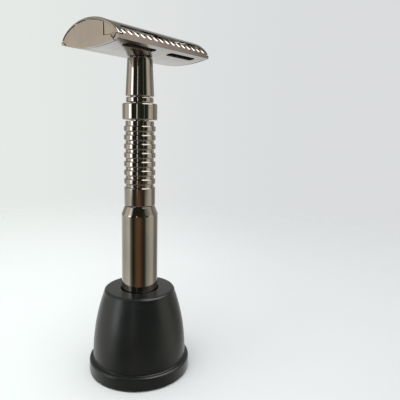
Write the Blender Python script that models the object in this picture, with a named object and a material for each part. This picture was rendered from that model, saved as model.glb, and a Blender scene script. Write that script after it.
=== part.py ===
"""Twist-to-open safety razor, standing in a weighted bell stand.

The razor's axis is Z. The stand's underside is at Z = 0, the head's length runs along X
and its shaving edges face -Y (front) and +Y (rear). The doors are drawn closed.
"""

from math import asin, cos, degrees, log, pi, radians, sin, sqrt

import bmesh
import bpy
from mathutils import Matrix, Vector

MM = 0.001

# Clearances
FIT_GAP = 0.30 * MM          # between pieces that seat on or slide in one another
BLADE_GAP = 0.13 * MM        # between the blade and the rest under it
PIN_GAP = 0.12 * MM          # around a hinge pin
CUT_BEYOND = 1.0 * MM        # how far a cut runs past what it cuts

# Head: the blade that it is built round
BLADE_LENGTH = 42.8 * MM
BLADE_WIDTH = 22.0 * MM
BLADE_THICKNESS = 0.15 * MM
BLADE_TAB_LENGTH = 2.75 * MM # the narrower tab at each end
BLADE_TAB_INSET = 3.8 * MM   # tab's side inside the blade's edge
BLADE_SLOT_FROM_END = 4.4 * MM
BLADE_SLOT_WIDTH = 2.4 * MM
BLADE_EDGE_RISE = 2.90 * MM  # top of the blade's edge above the guard's lower corner
BLADE_BOW = 1.95 * MM        # how far the bent blade's middle stands above its edges

# Head: guard and underside
GUARD_REACH = 2.2 * MM       # guard's side outside the blade's edge
GUARD_BAND = 1.35 * MM       # height of the plain band under the flutes
GUARD_RISE = 2.70 * MM       # top of the fluted edge
GUARD_LEAN = 1.00 * MM       # how far the fluted face leans in
GUARD_TOP_WIDTH = 0.50 * MM
GUARD_END_RISE = 1.10 * MM   # height of the bars' ends, under the doors' corners
BELLY_DROP = 1.75 * MM       # how far the underside hangs below the lower corner
PLATE_WALL = 0.90 * MM
PAD_WALL = 1.5 * MM          # round the core tube's hole
PAD_RISE = 0.45 * MM
FLUTE_COUNT = 15
FLUTE_MARGIN = 0.40 * MM     # from the blade's end to the first flute's share
FLUTE_RADIUS = 0.95 * MM
FLUTE_SLANT = radians(40)
FLUTE_SINK = 0.40 * MM       # distance of a flute's axis outside the fluted face
FLUTE_ABOVE = 4.3 * MM       # length of a flute's cut above the face's middle
FLUTE_BELOW = 1.7 * MM
DRAIN_WIDTH = 2.8 * MM
DRAIN_BRIDGE = 6.3 * MM      # between the two slots in a row
DRAIN_FROM_END = 4.05 * MM   # a slot's outer end inside the blade's end
DRAIN_FROM_SIDE = 3.3 * MM   # middle of a slot from the head's side

# Head: doors and end plates
END_WALL = 0.8 * MM
DOOR_EDGE_RISE = 1.40 * MM
DOOR_INSET = 0.10 * MM       # door's side inside the guard's
DOOR_WALL = 0.70 * MM
DOOR_LIP_WALL = 0.36 * MM    # at the edge that clamps the blade
DOOR_CORNER_WALL = 0.55 * MM
DOOR_LIP_INSET = 0.20 * MM   # clamping edge inside the blade's edge
DOOR_LIP_CLEAR = 0.74 * MM   # clamping edge's underside above the blade's edge
DOOR_TAPER = 2.1 * MM        # how far in from the clamping edge its wall thins
DOOR_SEAM = 0.30 * MM
NOTCH_CLEAR = 0.55 * MM      # clamping edge's end past the blade's cutting edge
NOTCH_FLARE = 1.7 * MM       # how much longer the notch is at the guard's edge, each end
LOBE_WIDTH = 6.05 * MM       # the doors' end lobes, from the head's side
LOBE_RISE = 1.45 * MM
HINGE_FROM_SIDE = 2.15 * MM
HINGE_RISE = 1.10 * MM
LUG_RADIUS = 0.75 * MM
LUG_ROOT = 0.9 * MM          # inner end of the lug's root, inside the hinge
CORNER_WALL = 0.15 * MM      # end plate's round corner outside the lug's radius
ROOF_PAST_HINGE = 0.72 * MM  # where the end plate's top curve stops, outside the hinge
PIN_RADIUS = 0.40 * MM
PIN_SIDES = 16
BLIND_PIN_DEPTH = 0.40 * MM
EAR_FROM_LOBE = 1.0 * MM     # root of the end plate's ear, outside the lobe's edge
EAR_BRIDGE_WIDTH = 1.2 * MM
EAR_BRIDGE_HEIGHT = 0.60 * MM
EAR_BRIDGE_INSET = 0.075 * MM

# Head: lifter
BAR_WIDTH = 3.2 * MM
BAR_HEIGHT = 1.0 * MM
REST_WALL = 0.45 * MM
REST_LEG_FROM_SIDE = 4.5 * MM  # middle of a leg inside the blade's edge
REST_LEG_WIDTH = 1.0 * MM
REST_INSET = 0.30 * MM       # rest's side inside the blade's edge
STUD_LENGTH = 3.0 * MM
STUD_FROM_SLOT_END = 5.0 * MM
STUD_RISE = 0.45 * MM        # above the blade
STUD_CLEAR = 1.25 * MM       # between a stud and the closed doors

# Handle, from the middle out and from the head down
ROD_RADIUS = 1.9 * MM
CORE_WALL = 1.0 * MM
NECK_WALL = 0.90 * MM        # at the neck's top
NECK_FLARE = 0.68 * MM       # how much wider the neck's foot is
NECK_LENGTH = 12.9 * MM
RING_INSET = 0.23 * MM       # ring's side inside the neck's foot
RING_HEIGHT = 1.75 * MM
COLLAR_RADIUS = 6.20 * MM
COLLAR_HEIGHT = 5.80 * MM
COLLAR_CHAMFER = 0.45 * MM
RING_CHAMFER = 0.22 * MM
GRIP_LENGTH = 30.2 * MM
GRIP_RADIUS = 5.65 * MM
GROOVE_DEPTH = 0.50 * MM
GROOVE_COUNT = 8
GROOVE_PITCH = 3.12 * MM
GROOVE_WIDTH = 1.10 * MM
GROOVE_BEVEL = 0.35 * MM
FIRST_GROOVE_DROP = 1.15 * MM

# Knob, and the parts inside it
KNOB_WALL = 1.65 * MM
KNOB_LENGTH = 48.2 * MM      # without its end cap
KNOB_CONE = 3.1 * MM
KNOB_CONE_INSET = 1.2 * MM   # knob's top edge inside its side
KNOB_SHOULDER = 1.9 * MM     # height on the cone where it has come in by half of that
KNOB_LIP = 2.6 * MM
END_CAP_HEIGHT = 1.8 * MM
END_CAP_PLUG = 2.2 * MM
BUSH_WALL = 1.2 * MM
BUSH_HEIGHT = 4.2 * MM
WASHER_HEIGHT = 0.5 * MM
CIRCLIP_HEIGHT = 0.7 * MM
CIRCLIP_REACH = 1.1 * MM     # outside the core tube
CIRCLIP_GROOVE_DEPTH = 0.5 * MM
NUT_HEIGHT = 8.0 * MM
NUT_BELOW_CORE = 5.0 * MM
ROD_TAIL = 4.0 * MM          # length of the screw below its nut
ROD_ABOVE_CAP = 7.3 * MM
SCREW_RADIUS = 1.6 * MM
TENON_RADIUS = 0.9 * MM

# Stand
STAND_HEIGHT = 31.9 * MM
STAND_TOP_RADIUS = 13.2 * MM
STAND_LIP = 0.9 * MM         # rounding of the upper edge
BELL_RADIUS = 17.5 * MM      # where the bell meets its flange
BELL_STEEPNESS = 2.1
FLANGE_REACH = 1.4 * MM
FLANGE_HEIGHT = 5.3 * MM
FLANGE_ROUND = 0.8 * MM
SOCKET_DEPTH = 19.2 * MM
SOCKET_FLOOR = 2.2 * MM
FOOT_PROUD = 0.3 * MM
FOOT_GROOVE = 0.9 * MM
FOOT_WIDTH = 1.9 * MM
FOOT_FROM_EDGE = 0.7 * MM
FOOT_WALL = 1.2 * MM         # between the foot's groove and the hollow for the weight
COVER_WALL = 1.5 * MM
COVER_LEDGE = 1.2 * MM       # the cover's recess from the body's underside
COVER_SCREW_COUNT = 3
COVER_SCREW_FROM_EDGE = 4.4 * MM
COVER_SCREW_RADIUS = 1.1 * MM
COVER_SCREW_HEAD = 2.0 * MM
COVER_SCREW_HEAD_HEIGHT = 0.7 * MM
COVER_SCREW_LENGTH = 5.0 * MM

FINE = 40                    # sides of a large round piece
COARSE = 24                  # sides of an inner round piece

# Places in the head that follow from the sizes above
HALF_WIDTH = BLADE_WIDTH / 2 + GUARD_REACH
PLATE_HALF = BLADE_LENGTH / 2
CUTTING_HALF = PLATE_HALF - BLADE_TAB_LENGTH
SLOT_HALF = PLATE_HALF - BLADE_SLOT_FROM_END
STUD_PLACE = SLOT_HALF - STUD_FROM_SLOT_END
END_INNER = PLATE_HALF + FIT_GAP
END_OUTER = END_INNER + END_WALL
EAR_OUTER = END_INNER - FIT_GAP
EAR_INNER = EAR_OUTER - END_WALL
NOTCH_HALF = CUTTING_HALF + NOTCH_CLEAR
DOOR_SIDE = HALF_WIDTH - DOOR_INSET
LIP_SIDE = BLADE_WIDTH / 2 - DOOR_LIP_INSET
HINGE_SIDE = HALF_WIDTH - HINGE_FROM_SIDE
LOBE_EDGE = HALF_WIDTH - LOBE_WIDTH
EAR_ROOT = LOBE_EDGE + EAR_FROM_LOBE
CORNER_RADIUS = LUG_RADIUS + CORNER_WALL
BAR_BASE = -BELLY_DROP + PLATE_WALL + PAD_RISE + FIT_GAP
FLUTE_PITCH = (BLADE_LENGTH - 2 * FLUTE_MARGIN) / FLUTE_COUNT
DRAIN_LENGTH = PLATE_HALF - DRAIN_FROM_END - DRAIN_BRIDGE / 2

# The doors' section: its crown clears the studs, and its edge clears the blade's
DOOR_RISE = BLADE_EDGE_RISE + BLADE_BOW + STUD_RISE + STUD_CLEAR + DOOR_WALL
DOOR_LIP_RISE = BLADE_EDGE_RISE + DOOR_LIP_CLEAR + DOOR_LIP_WALL
DOOR_FULLNESS = (log((DOOR_LIP_RISE - DOOR_EDGE_RISE) / (DOOR_RISE - DOOR_EDGE_RISE))
                 / log(1 - (LIP_SIDE / DOOR_SIDE) ** 2))

# Radii from the middle out
CORE_BORE = ROD_RADIUS + FIT_GAP
CORE_RADIUS = CORE_BORE + CORE_WALL
CORE_HOLE = CORE_RADIUS + FIT_GAP
PAD_RADIUS = CORE_HOLE + PAD_WALL
NECK_TOP_RADIUS = CORE_HOLE + NECK_WALL
NECK_FOOT_RADIUS = NECK_TOP_RADIUS + NECK_FLARE
RING_RADIUS = NECK_FOOT_RADIUS - RING_INSET
KNOB_BORE = CORE_HOLE + BUSH_WALL + FIT_GAP
KNOB_RADIUS = KNOB_BORE + KNOB_WALL
SOCKET_RADIUS = KNOB_RADIUS + FIT_GAP
FLANGE_RADIUS = BELL_RADIUS + FLANGE_REACH
FOOT_OUTER = FLANGE_RADIUS - FOOT_FROM_EDGE
FOOT_INNER = FOOT_OUTER - FOOT_WIDTH
HOLLOW_RADIUS = FOOT_INNER - 2 * FIT_GAP - FOOT_WALL

# Heights from the stand's underside up
SOCKET_FLOOR_Z = STAND_HEIGHT - SOCKET_DEPTH
RAZOR_FOOT_Z = SOCKET_FLOOR_Z + FIT_GAP
CAP_TOP_Z = RAZOR_FOOT_Z + END_CAP_HEIGHT
KNOB_FOOT_Z = CAP_TOP_Z + FIT_GAP
KNOB_TOP_Z = KNOB_FOOT_Z + KNOB_LENGTH
GRIP_FOOT_Z = KNOB_TOP_Z + FIT_GAP
GRIP_TOP_Z = GRIP_FOOT_Z + GRIP_LENGTH
COLLAR_FOOT_Z = GRIP_TOP_Z + FIT_GAP
RING_FOOT_Z = COLLAR_FOOT_Z + COLLAR_HEIGHT + FIT_GAP
NECK_FOOT_Z = RING_FOOT_Z + RING_HEIGHT + FIT_GAP
NECK_TOP_Z = NECK_FOOT_Z + NECK_LENGTH
GUARD_BASE_Z = NECK_TOP_Z + FIT_GAP + BELLY_DROP   # the guard bars' lower corner
CORE_TOP_Z = GUARD_BASE_Z + BAR_BASE - FIT_GAP
ROD_FOOT_Z = CAP_TOP_Z + END_CAP_PLUG + ROD_ABOVE_CAP
NUT_FOOT_Z = ROD_FOOT_Z + ROD_TAIL
NUT_TOP_Z = NUT_FOOT_Z + NUT_HEIGHT
CORE_FOOT_Z = NUT_TOP_Z + NUT_BELOW_CORE
BUSH_TOP_Z = KNOB_TOP_Z - KNOB_LIP - FIT_GAP
WASHER_TOP_Z = BUSH_TOP_Z - BUSH_HEIGHT - FIT_GAP
CIRCLIP_TOP_Z = WASHER_TOP_Z - WASHER_HEIGHT - FIT_GAP

GUNMETAL = (0.16, 0.15, 0.14)
DARK_STEEL = (0.10, 0.10, 0.10)
BRIGHT_STEEL = (0.55, 0.55, 0.56)
BRASS = (0.60, 0.45, 0.18)
BLACK = (0.02, 0.022, 0.024)


def clear_scene():
    for obj in list(bpy.data.objects):
        bpy.data.objects.remove(obj)


def finish(name, mesh_data, colour, metallic, roughness):
    """Turn a bmesh into a named object with its own material."""
    bmesh.ops.remove_doubles(mesh_data, verts=mesh_data.verts, dist=1e-7)
    bmesh.ops.recalc_face_normals(mesh_data, faces=mesh_data.faces)
    mesh = bpy.data.meshes.new(name)
    mesh_data.to_mesh(mesh)
    mesh_data.free()
    obj = bpy.data.objects.new(name, mesh)
    bpy.context.scene.collection.objects.link(obj)
    material = bpy.data.materials.new(name)
    material.use_nodes = True
    shader = material.node_tree.nodes["Principled BSDF"]
    shader.inputs["Base Color"].default_value = (*colour, 1.0)
    shader.inputs["Metallic"].default_value = metallic
    shader.inputs["Roughness"].default_value = roughness
    mesh.materials.append(material)
    return obj


def cutter(name, mesh_data):
    """A hidden helper that a Boolean reads."""
    obj = finish(name, mesh_data, BLACK, 0.0, 0.5)
    obj.hide_render = True
    obj.display_type = "WIRE"
    return obj


def boolean(obj, helper, operation):
    modifier = obj.modifiers.new(helper.name, "BOOLEAN")
    modifier.operation = operation
    modifier.solver = "EXACT"
    modifier.object = helper


def extrude(corners, travel):
    """A closed prism: the flat outline through corners, pushed along travel."""
    shape = bmesh.new()
    face = shape.faces.new([shape.verts.new(corner) for corner in corners])
    pushed = bmesh.ops.extrude_face_region(shape, geom=[face])
    top = [item for item in pushed["geom"] if isinstance(item, bmesh.types.BMVert)]
    bmesh.ops.translate(shape, verts=top, vec=travel)
    bmesh.ops.recalc_face_normals(shape, faces=shape.faces)
    return shape


def section(outline, start, end):
    """A prism along X; outline holds (y, rise) pairs, rise counted from GUARD_BASE_Z."""
    corners = [(start, y, GUARD_BASE_Z + rise) for y, rise in outline]
    return extrude(corners, (end - start, 0, 0))


def block(low, high):
    corners = [(low[0], low[1], low[2]), (high[0], low[1], low[2]),
               (high[0], high[1], low[2]), (low[0], high[1], low[2])]
    return extrude(corners, (0, 0, high[2] - low[2]))


def turn(outline, sides, closed=True):
    """Spin (radius, z) points about Z. A closed outline makes a ring, an open one a solid."""
    shape = bmesh.new()
    points = [shape.verts.new((radius, 0, z)) for radius, z in outline]
    edges = [shape.edges.new(pair) for pair in zip(points, points[1:])]
    if closed:
        edges.append(shape.edges.new((points[-1], points[0])))
    bmesh.ops.spin(shape, geom=points + edges, cent=(0, 0, 0), axis=(0, 0, 1),
                   angle=2 * pi, steps=sides, use_merge=True)
    bmesh.ops.remove_doubles(shape, verts=shape.verts, dist=1e-7)
    bmesh.ops.recalc_face_normals(shape, faces=shape.faces)
    return shape


def ring(inner, outer, foot, top, sides, bevel=0.0):
    """A turned ring with a bevel on its two outer edges."""
    outline = [(inner, foot), (outer - bevel, foot), (outer, foot + bevel),
               (outer, top - bevel), (outer - bevel, top), (inner, top)]
    return turn(list(dict.fromkeys(outline)), sides)


def rod(radius, place, travel, sides):
    """A round bar from place along travel."""
    ahead = Vector(travel)
    shape = bmesh.new()
    bmesh.ops.create_cone(shape, cap_ends=True, segments=sides, radius1=radius,
                          radius2=radius, depth=ahead.length)
    turned = ahead.to_track_quat("Z", "Y").to_matrix().to_4x4()
    middle = Vector(place) + ahead / 2
    bmesh.ops.transform(shape, verts=shape.verts, matrix=Matrix.Translation(middle) @ turned)
    return shape


def merged(shapes):
    """One mesh that holds several separate shapes."""
    whole = bmesh.new()
    for shape in shapes:
        mesh = bpy.data.meshes.new("loose")
        shape.to_mesh(mesh)
        shape.free()
        whole.from_mesh(mesh)
        bpy.data.meshes.remove(mesh)
    return whole


def half_turned(shape):
    """The same shape turned half round about the razor's axis."""
    bmesh.ops.transform(shape, verts=shape.verts, matrix=Matrix.Rotation(pi, 4, "Z"))
    return shape


def placed(shape, turned):
    """The shape where it is, or turned half round for the front door's side."""
    return half_turned(shape) if turned else shape


def two(make):
    """A shape and its copy turned half round."""
    return [make(), half_turned(make())]


def rounded(radius, top, corner, start):
    """Points round the upper outer edge of a turned piece, from start degrees up to 90."""
    return [(radius - corner + corner * cos(radians(turned)),
             top - corner + corner * sin(radians(turned))) for turned in spaced(start, 90, 2)]


def round_shade(obj, angle=35):
    obj.data.shade_smooth()
    obj.data.set_sharp_from_angle(angle=radians(angle))


# ---- curves of the head, in (y, rise) ----

def belly(y):
    return -BELLY_DROP * (1 - (y / HALF_WIDTH) ** 2)


def blade_top(y):
    return BLADE_EDGE_RISE + BLADE_BOW * (1 - (2 * y / BLADE_WIDTH) ** 2)


def door_curve(y, depth):
    """A point of the door's section, depth under its outer curve at y."""
    share = y / DOOR_SIDE
    height = DOOR_RISE - DOOR_EDGE_RISE
    if share > 0.9999:
        return DOOR_SIDE - depth, DOOR_EDGE_RISE
    left = 1 - share ** 2
    rise = DOOR_EDGE_RISE + height * left ** DOOR_FULLNESS
    slope = -height * DOOR_FULLNESS * left ** (DOOR_FULLNESS - 1) * 2 * share / DOOR_SIDE
    length = sqrt(1 + slope ** 2)
    return y + depth * slope / length, rise - depth / length


def door_wall(y):
    """Wall at y: thinner where the door clamps the blade."""
    if y <= LIP_SIDE - DOOR_TAPER:
        return DOOR_WALL
    if y <= LIP_SIDE:
        share = 1 - (LIP_SIDE - y) / DOOR_TAPER
        return DOOR_WALL + (DOOR_LIP_WALL - DOOR_WALL) * share
    share = (y - LIP_SIDE) / (DOOR_SIDE - LIP_SIDE)
    return DOOR_LIP_WALL + (DOOR_CORNER_WALL - DOOR_LIP_WALL) * share


def spaced(start, end, count):
    return [start + (end - start) * step / count for step in range(count + 1)]


def across(start, end, count=16):
    """Places from start to end, closer together where the door curves down."""
    turns = spaced(asin(start / DOOR_SIDE), asin(end / DOOR_SIDE), count)
    return [DOOR_SIDE * sin(angle) for angle in turns]


def hinge_arc(radius, start, end, count=8):
    """Points about the hinge axis; 0 degrees points out of the head, 90 up."""
    return [(HINGE_SIDE + radius * cos(radians(turned)), HINGE_RISE + radius * sin(radians(turned)))
            for turned in spaced(start, end, count)]


def guard_section():
    """The plate and both guard bars, as one outline."""
    inner = HALF_WIDTH - GUARD_LEAN - GUARD_TOP_WIDTH
    half = [(y, belly(y)) for y in spaced(0, HALF_WIDTH, 10)]
    half += [(HALF_WIDTH, GUARD_BAND), (HALF_WIDTH - GUARD_LEAN, GUARD_RISE), (inner, GUARD_RISE)]
    half += [(y, belly(y) + PLATE_WALL) for y in spaced(inner, 0, 9)]
    other = [(-y, rise) for y, rise in reversed(half[1:-1])]
    return half + other


def make_guard_plate():
    plate = finish("guard_plate", section(guard_section(), -END_OUTER, END_OUTER),
                   GUNMETAL, 1.0, 0.2)
    beyond = END_OUTER + CUT_BEYOND
    side = HALF_WIDTH + CUT_BEYOND
    base = GUARD_BASE_Z
    deep = base - BELLY_DROP - CUT_BEYOND
    high = base + GUARD_RISE + CUT_BEYOND
    start = NOTCH_HALF + NOTCH_FLARE - FIT_GAP
    steps = two(lambda: block((start, -side, base + GUARD_END_RISE), (beyond, side, high)))
    boolean(plate, cutter("end_steps", merged(steps)), "DIFFERENCE")
    reach = HINGE_SIDE + FIT_GAP
    rooms = two(lambda: block((PLATE_HALF, -reach, deep), (beyond, reach, high)))
    boolean(plate, cutter("end_plate_rooms", merged(rooms)), "DIFFERENCE")
    boolean(plate, cutter("hinge_rooms", merged(hinge_rooms(beyond))), "DIFFERENCE")
    pad_foot = base - BELLY_DROP + PLATE_WALL / 2
    pad = turn([(0, pad_foot), (PAD_RADIUS, pad_foot), (PAD_RADIUS, CORE_TOP_Z),
                (0, CORE_TOP_Z)], COARSE, closed=False)
    boolean(plate, cutter("core_pad", pad), "UNION")
    hole = rod(CORE_HOLE, (0, 0, deep), (0, 0, high - deep), COARSE)
    boolean(plate, cutter("core_hole", hole), "DIFFERENCE")
    boolean(plate, cutter("drain_slots", merged(drain_slots())), "DIFFERENCE")
    boolean(plate, cutter("guard_flutes", merged(flutes())), "DIFFERENCE")


def hinge_rooms(beyond):
    """Room in the guard plate's four corners for the lugs, ears and end plates."""
    turning = CORNER_RADIUS + FIT_GAP
    root = EAR_ROOT - FIT_GAP
    top = GUARD_RISE + CUT_BEYOND
    outline = [(root, HINGE_RISE - turning)] + hinge_arc(turning, -90, 0, 6)
    outline += [(HINGE_SIDE + turning, top), (root, top)]
    mirrored = [(-y, rise) for y, rise in outline]
    start = EAR_INNER - FIT_GAP
    return two(lambda: section(outline, start, beyond)) + two(
        lambda: section(mirrored, start, beyond))


def round_slot(middle, length, width, travel):
    """A long hole with round ends, along X."""
    radius = width / 2
    corners = []
    for end, start in ((1, -90), (-1, 90)):
        for turned in spaced(start, start + 180, 6):
            corners.append((middle[0] + end * (length / 2 - radius) + radius * cos(radians(turned)),
                            middle[1] + radius * sin(radians(turned)), middle[2]))
    return extrude(corners, travel)


def drain_slots():
    """Long round-ended slots, two beside each guard bar."""
    start = GUARD_BASE_Z - BELLY_DROP - CUT_BEYOND
    travel = (0, 0, BELLY_DROP + PLATE_WALL + 2 * CUT_BEYOND)
    x = (DRAIN_BRIDGE + DRAIN_LENGTH) / 2
    y = HALF_WIDTH - DRAIN_FROM_SIDE
    return [round_slot((end * x, side * y, start), DRAIN_LENGTH, DRAIN_WIDTH, travel)
            for side in (1, -1) for end in (1, -1)]


def flutes():
    """Slanted round scallops along the guards' leaning faces."""
    lean = Vector((0, GUARD_LEAN, GUARD_BAND - GUARD_RISE)).normalized()
    outward = Vector((0, -lean.z, lean.y))
    along = (lean * cos(FLUTE_SLANT) + Vector((-sin(FLUTE_SLANT), 0, 0))).normalized()
    middle = Vector((0, HALF_WIDTH - GUARD_LEAN / 2, GUARD_BASE_Z + (GUARD_BAND + GUARD_RISE) / 2))
    travel = along * (FLUTE_ABOVE + FLUTE_BELOW)
    shapes = []
    for index in range(FLUTE_COUNT):
        x = (index - (FLUTE_COUNT - 1) / 2) * FLUTE_PITCH
        start = middle + outward * FLUTE_SINK + Vector((x, 0, 0)) - along * FLUTE_ABOVE
        shapes += two(lambda: rod(FLUTE_RADIUS, start, travel, 12))
    return shapes


def make_blade_rest():
    """The bowed bed under the blade, on two legs, with the two studs that locate the blade."""
    side = BLADE_WIDTH / 2 - REST_INSET
    drop = BLADE_THICKNESS + BLADE_GAP
    top = [(y, blade_top(y) - drop) for y in spaced(-side, side, 16)]
    outer = BLADE_WIDTH / 2 - REST_LEG_FROM_SIDE + REST_LEG_WIDTH / 2
    inner = outer - REST_LEG_WIDTH

    def under(y):
        return y, blade_top(y) - drop - REST_WALL

    def on_plate(y):
        return y, belly(y) + PLATE_WALL + FIT_GAP

    low = [under(side), under((side + outer) / 2), under(outer), on_plate(outer), on_plate(inner)]
    low += [under(y) for y in spaced(inner, -inner, 8)]
    low += [on_plate(-inner), on_plate(-outer), under(-outer), under(-(side + outer) / 2),
            under(-side)]
    rest = finish("blade_rest", section(top + low, -CUTTING_HALF, CUTTING_HALF),
                  GUNMETAL, 1.0, 0.25)
    width = BLADE_SLOT_WIDTH - 2 * FIT_GAP
    crown = blade_top(0)
    for end, name in ((1, "right"), (-1, "left")):
        x = end * STUD_PLACE
        low_corner = (x - STUD_LENGTH / 2, -width / 2, GUARD_BASE_Z + crown - drop - REST_WALL / 2)
        high_corner = (x + STUD_LENGTH / 2, width / 2, GUARD_BASE_Z + crown + STUD_RISE)
        boolean(rest, cutter(f"{name}_stud", block(low_corner, high_corner)), "UNION")


def make_blade():
    side = BLADE_WIDTH / 2
    top = [(y, blade_top(y)) for y in spaced(-side, side, 16)]
    low = [(y, rise - BLADE_THICKNESS) for y, rise in reversed(top)]
    blade = finish("blade", section(top + low, -PLATE_HALF, PLATE_HALF), BRIGHT_STEEL, 1.0, 0.2)
    base = GUARD_BASE_Z
    high = base + DOOR_RISE
    shapes = []
    for edge in (1, -1):
        ys = sorted((edge * (side - BLADE_TAB_INSET), edge * (side + CUT_BEYOND)))
        shapes += two(lambda: block((CUTTING_HALF, ys[0], base),
                                    (PLATE_HALF + CUT_BEYOND, ys[1], high)))
    width = BLADE_SLOT_WIDTH / 2
    shapes.append(block((-SLOT_HALF, -width, base), (SLOT_HALF, width, high)))
    boolean(blade, cutter("blade_cuts", merged(shapes)), "DIFFERENCE")


def notch_cutter():
    """The opening over the blade's edge and the guard, in the rear door."""
    mid = (LIP_SIDE + DOOR_SIDE) / 2
    far = HALF_WIDTH + CUT_BEYOND
    flare = NOTCH_HALF + NOTCH_FLARE
    right = [(NOTCH_HALF, LIP_SIDE), (flare, mid), (flare + FIT_GAP, far)]
    outline = right + [(-x, y) for x, y in reversed(right)]
    return extrude([(x, y, GUARD_BASE_Z) for x, y in outline], (0, 0, DOOR_RISE + CUT_BEYOND))


def lobe_section():
    """The door's own end wall, with the eye round its hinge pin."""
    arch = [door_curve(y, DOOR_LIP_WALL / 2) for y in across(LOBE_EDGE, DOOR_SIDE, 8)]
    arch[0] = (LOBE_EDGE, arch[0][1])
    meet = degrees(asin((LOBE_RISE - HINGE_RISE) / LUG_RADIUS))
    eye = hinge_arc(LUG_RADIUS, meet, -180 - meet, 10)
    return arch + [(HINGE_SIDE + LUG_RADIUS, DOOR_EDGE_RISE)] + eye[1:-1] + [
        (HINGE_SIDE - LUG_RADIUS, LOBE_RISE), (LOBE_EDGE, LOBE_RISE)]


def lug_section():
    """The inner eye at the door's other end, reaching up into the shell."""
    shell = [door_curve(y, DOOR_LIP_WALL / 2) for y in across(HINGE_SIDE - LUG_ROOT, DOOR_SIDE, 5)]
    shell = [point for point in shell if point[1] > HINGE_RISE + LUG_RADIUS]
    eye = hinge_arc(LUG_RADIUS, 0, -180, 8)
    return shell + eye


def make_door(name, turned):
    """A half roof: the rear door, or the same door turned half round."""
    seam = DOOR_SEAM / 2
    outer = [door_curve(y, 0) for y in across(seam, DOOR_SIDE)]
    inner = [door_curve(y, door_wall(y)) for y in across(seam, DOOR_SIDE)]
    inner[0] = (seam, inner[0][1])
    shell = section(outer + inner[::-1], -END_OUTER, END_OUTER)
    door = finish(name, placed(shell, turned), GUNMETAL, 1.0, 0.12)
    boolean(door, cutter(f"{name}_notch", placed(notch_cutter(), turned)), "DIFFERENCE")
    lobe = section(lobe_section(), END_INNER, END_OUTER)
    boolean(door, cutter(f"{name}_lobe", placed(lobe, turned)), "UNION")
    lug = section(lug_section(), -EAR_OUTER, -EAR_INNER)
    boolean(door, cutter(f"{name}_lug", placed(lug, turned)), "UNION")
    axis_z = GUARD_BASE_Z + HINGE_RISE
    reach = END_OUTER + CUT_BEYOND
    hole = rod(PIN_RADIUS + PIN_GAP, (-reach, HINGE_SIDE, axis_z), (2 * reach, 0, 0), PIN_SIDES)
    boolean(door, cutter(f"{name}_pin_holes", placed(hole, turned)), "DIFFERENCE")
    move_origin(door, (0, -HINGE_SIDE if turned else HINGE_SIDE, axis_z))


def move_origin(obj, place):
    """Puts the origin on a joint's axis and leaves the shape where it is."""
    obj.data.transform(Matrix.Translation(-Vector(place)))
    obj.location = place


def end_plate_section():
    """The right end plate: rear lobe's cut-out at +Y, round corner at -Y."""
    cut = LUG_RADIUS + FIT_GAP
    low = [(y, belly(y)) for y in spaced(-HINGE_SIDE, HINGE_SIDE, 16)]
    eye = hinge_arc(cut, -90, -180, 5)
    seam = LOBE_RISE - FIT_GAP
    edge = LOBE_EDGE - FIT_GAP
    step = [(HINGE_SIDE - cut, seam), (edge, seam)]
    roof = [door_curve(y, DOOR_WALL + FIT_GAP) for y in across(0, edge, 6)[::-1]]
    roof[0] = (edge, roof[0][1])
    for y in across(0, DOOR_SIDE, 14)[1:]:
        inner, rise = door_curve(y, DOOR_WALL + FIT_GAP)
        if inner < HINGE_SIDE + ROOF_PAST_HINGE and rise > HINGE_RISE + FIT_GAP:
            roof.append((-inner, rise))
    corner = [(-y, rise) for y, rise in hinge_arc(CORNER_RADIUS, 5, -90, 6)]
    return low + eye + step + roof + corner


def make_end_plate(name, turned):
    plate = finish(name, placed(section(end_plate_section(), END_INNER, END_OUTER), turned),
                   GUNMETAL, 1.0, 0.15)
    foot = HINGE_RISE - LUG_RADIUS
    ear = [(EAR_ROOT, foot)] + hinge_arc(LUG_RADIUS, -90, 90)
    ear.append((EAR_ROOT, HINGE_RISE + LUG_RADIUS))
    ear = section(ear, EAR_INNER, EAR_OUTER)
    boolean(plate, cutter(f"{name}_ear", placed(ear, turned)), "UNION")
    bridge_foot = GUARD_BASE_Z + foot + EAR_BRIDGE_INSET
    bridge = block((EAR_OUTER - END_WALL / 2, EAR_ROOT, bridge_foot),
                   (END_INNER + END_WALL / 2, EAR_ROOT + EAR_BRIDGE_WIDTH,
                    bridge_foot + EAR_BRIDGE_HEIGHT))
    boolean(plate, cutter(f"{name}_bridge", placed(bridge, turned)), "UNION")
    radius = PIN_RADIUS + PIN_GAP
    axis_z = GUARD_BASE_Z + HINGE_RISE
    through = rod(radius, (EAR_INNER - CUT_BEYOND, HINGE_SIDE, axis_z),
                  (END_OUTER - EAR_INNER + 2 * CUT_BEYOND, 0, 0), PIN_SIDES)
    blind = rod(radius, (END_INNER - CUT_BEYOND, -HINGE_SIDE, axis_z),
                (CUT_BEYOND + BLIND_PIN_DEPTH + PIN_GAP, 0, 0), PIN_SIDES)
    holes = placed(merged([through, blind]), turned)
    boolean(plate, cutter(f"{name}_pin_holes", holes), "DIFFERENCE")


def make_hinge_pins():
    """One pin at each end of each door: a visible one through the lobe, a blind one at the lug."""
    axis_z = GUARD_BASE_Z + HINGE_RISE
    for door, turned in (("rear", False), ("front", True)):
        lobe = rod(PIN_RADIUS, (EAR_INNER, HINGE_SIDE, axis_z),
                   (END_OUTER - EAR_INNER, 0, 0), PIN_SIDES)
        lug = rod(PIN_RADIUS, (-END_INNER - BLIND_PIN_DEPTH, HINGE_SIDE, axis_z),
                  (END_INNER + BLIND_PIN_DEPTH - EAR_INNER, 0, 0), PIN_SIDES)
        for shape, end in ((lobe, "lobe"), (lug, "lug")):
            pin = finish(f"{door}_{end}_pin", placed(shape, turned), BRIGHT_STEEL, 1.0, 0.3)
            round_shade(pin)


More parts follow.
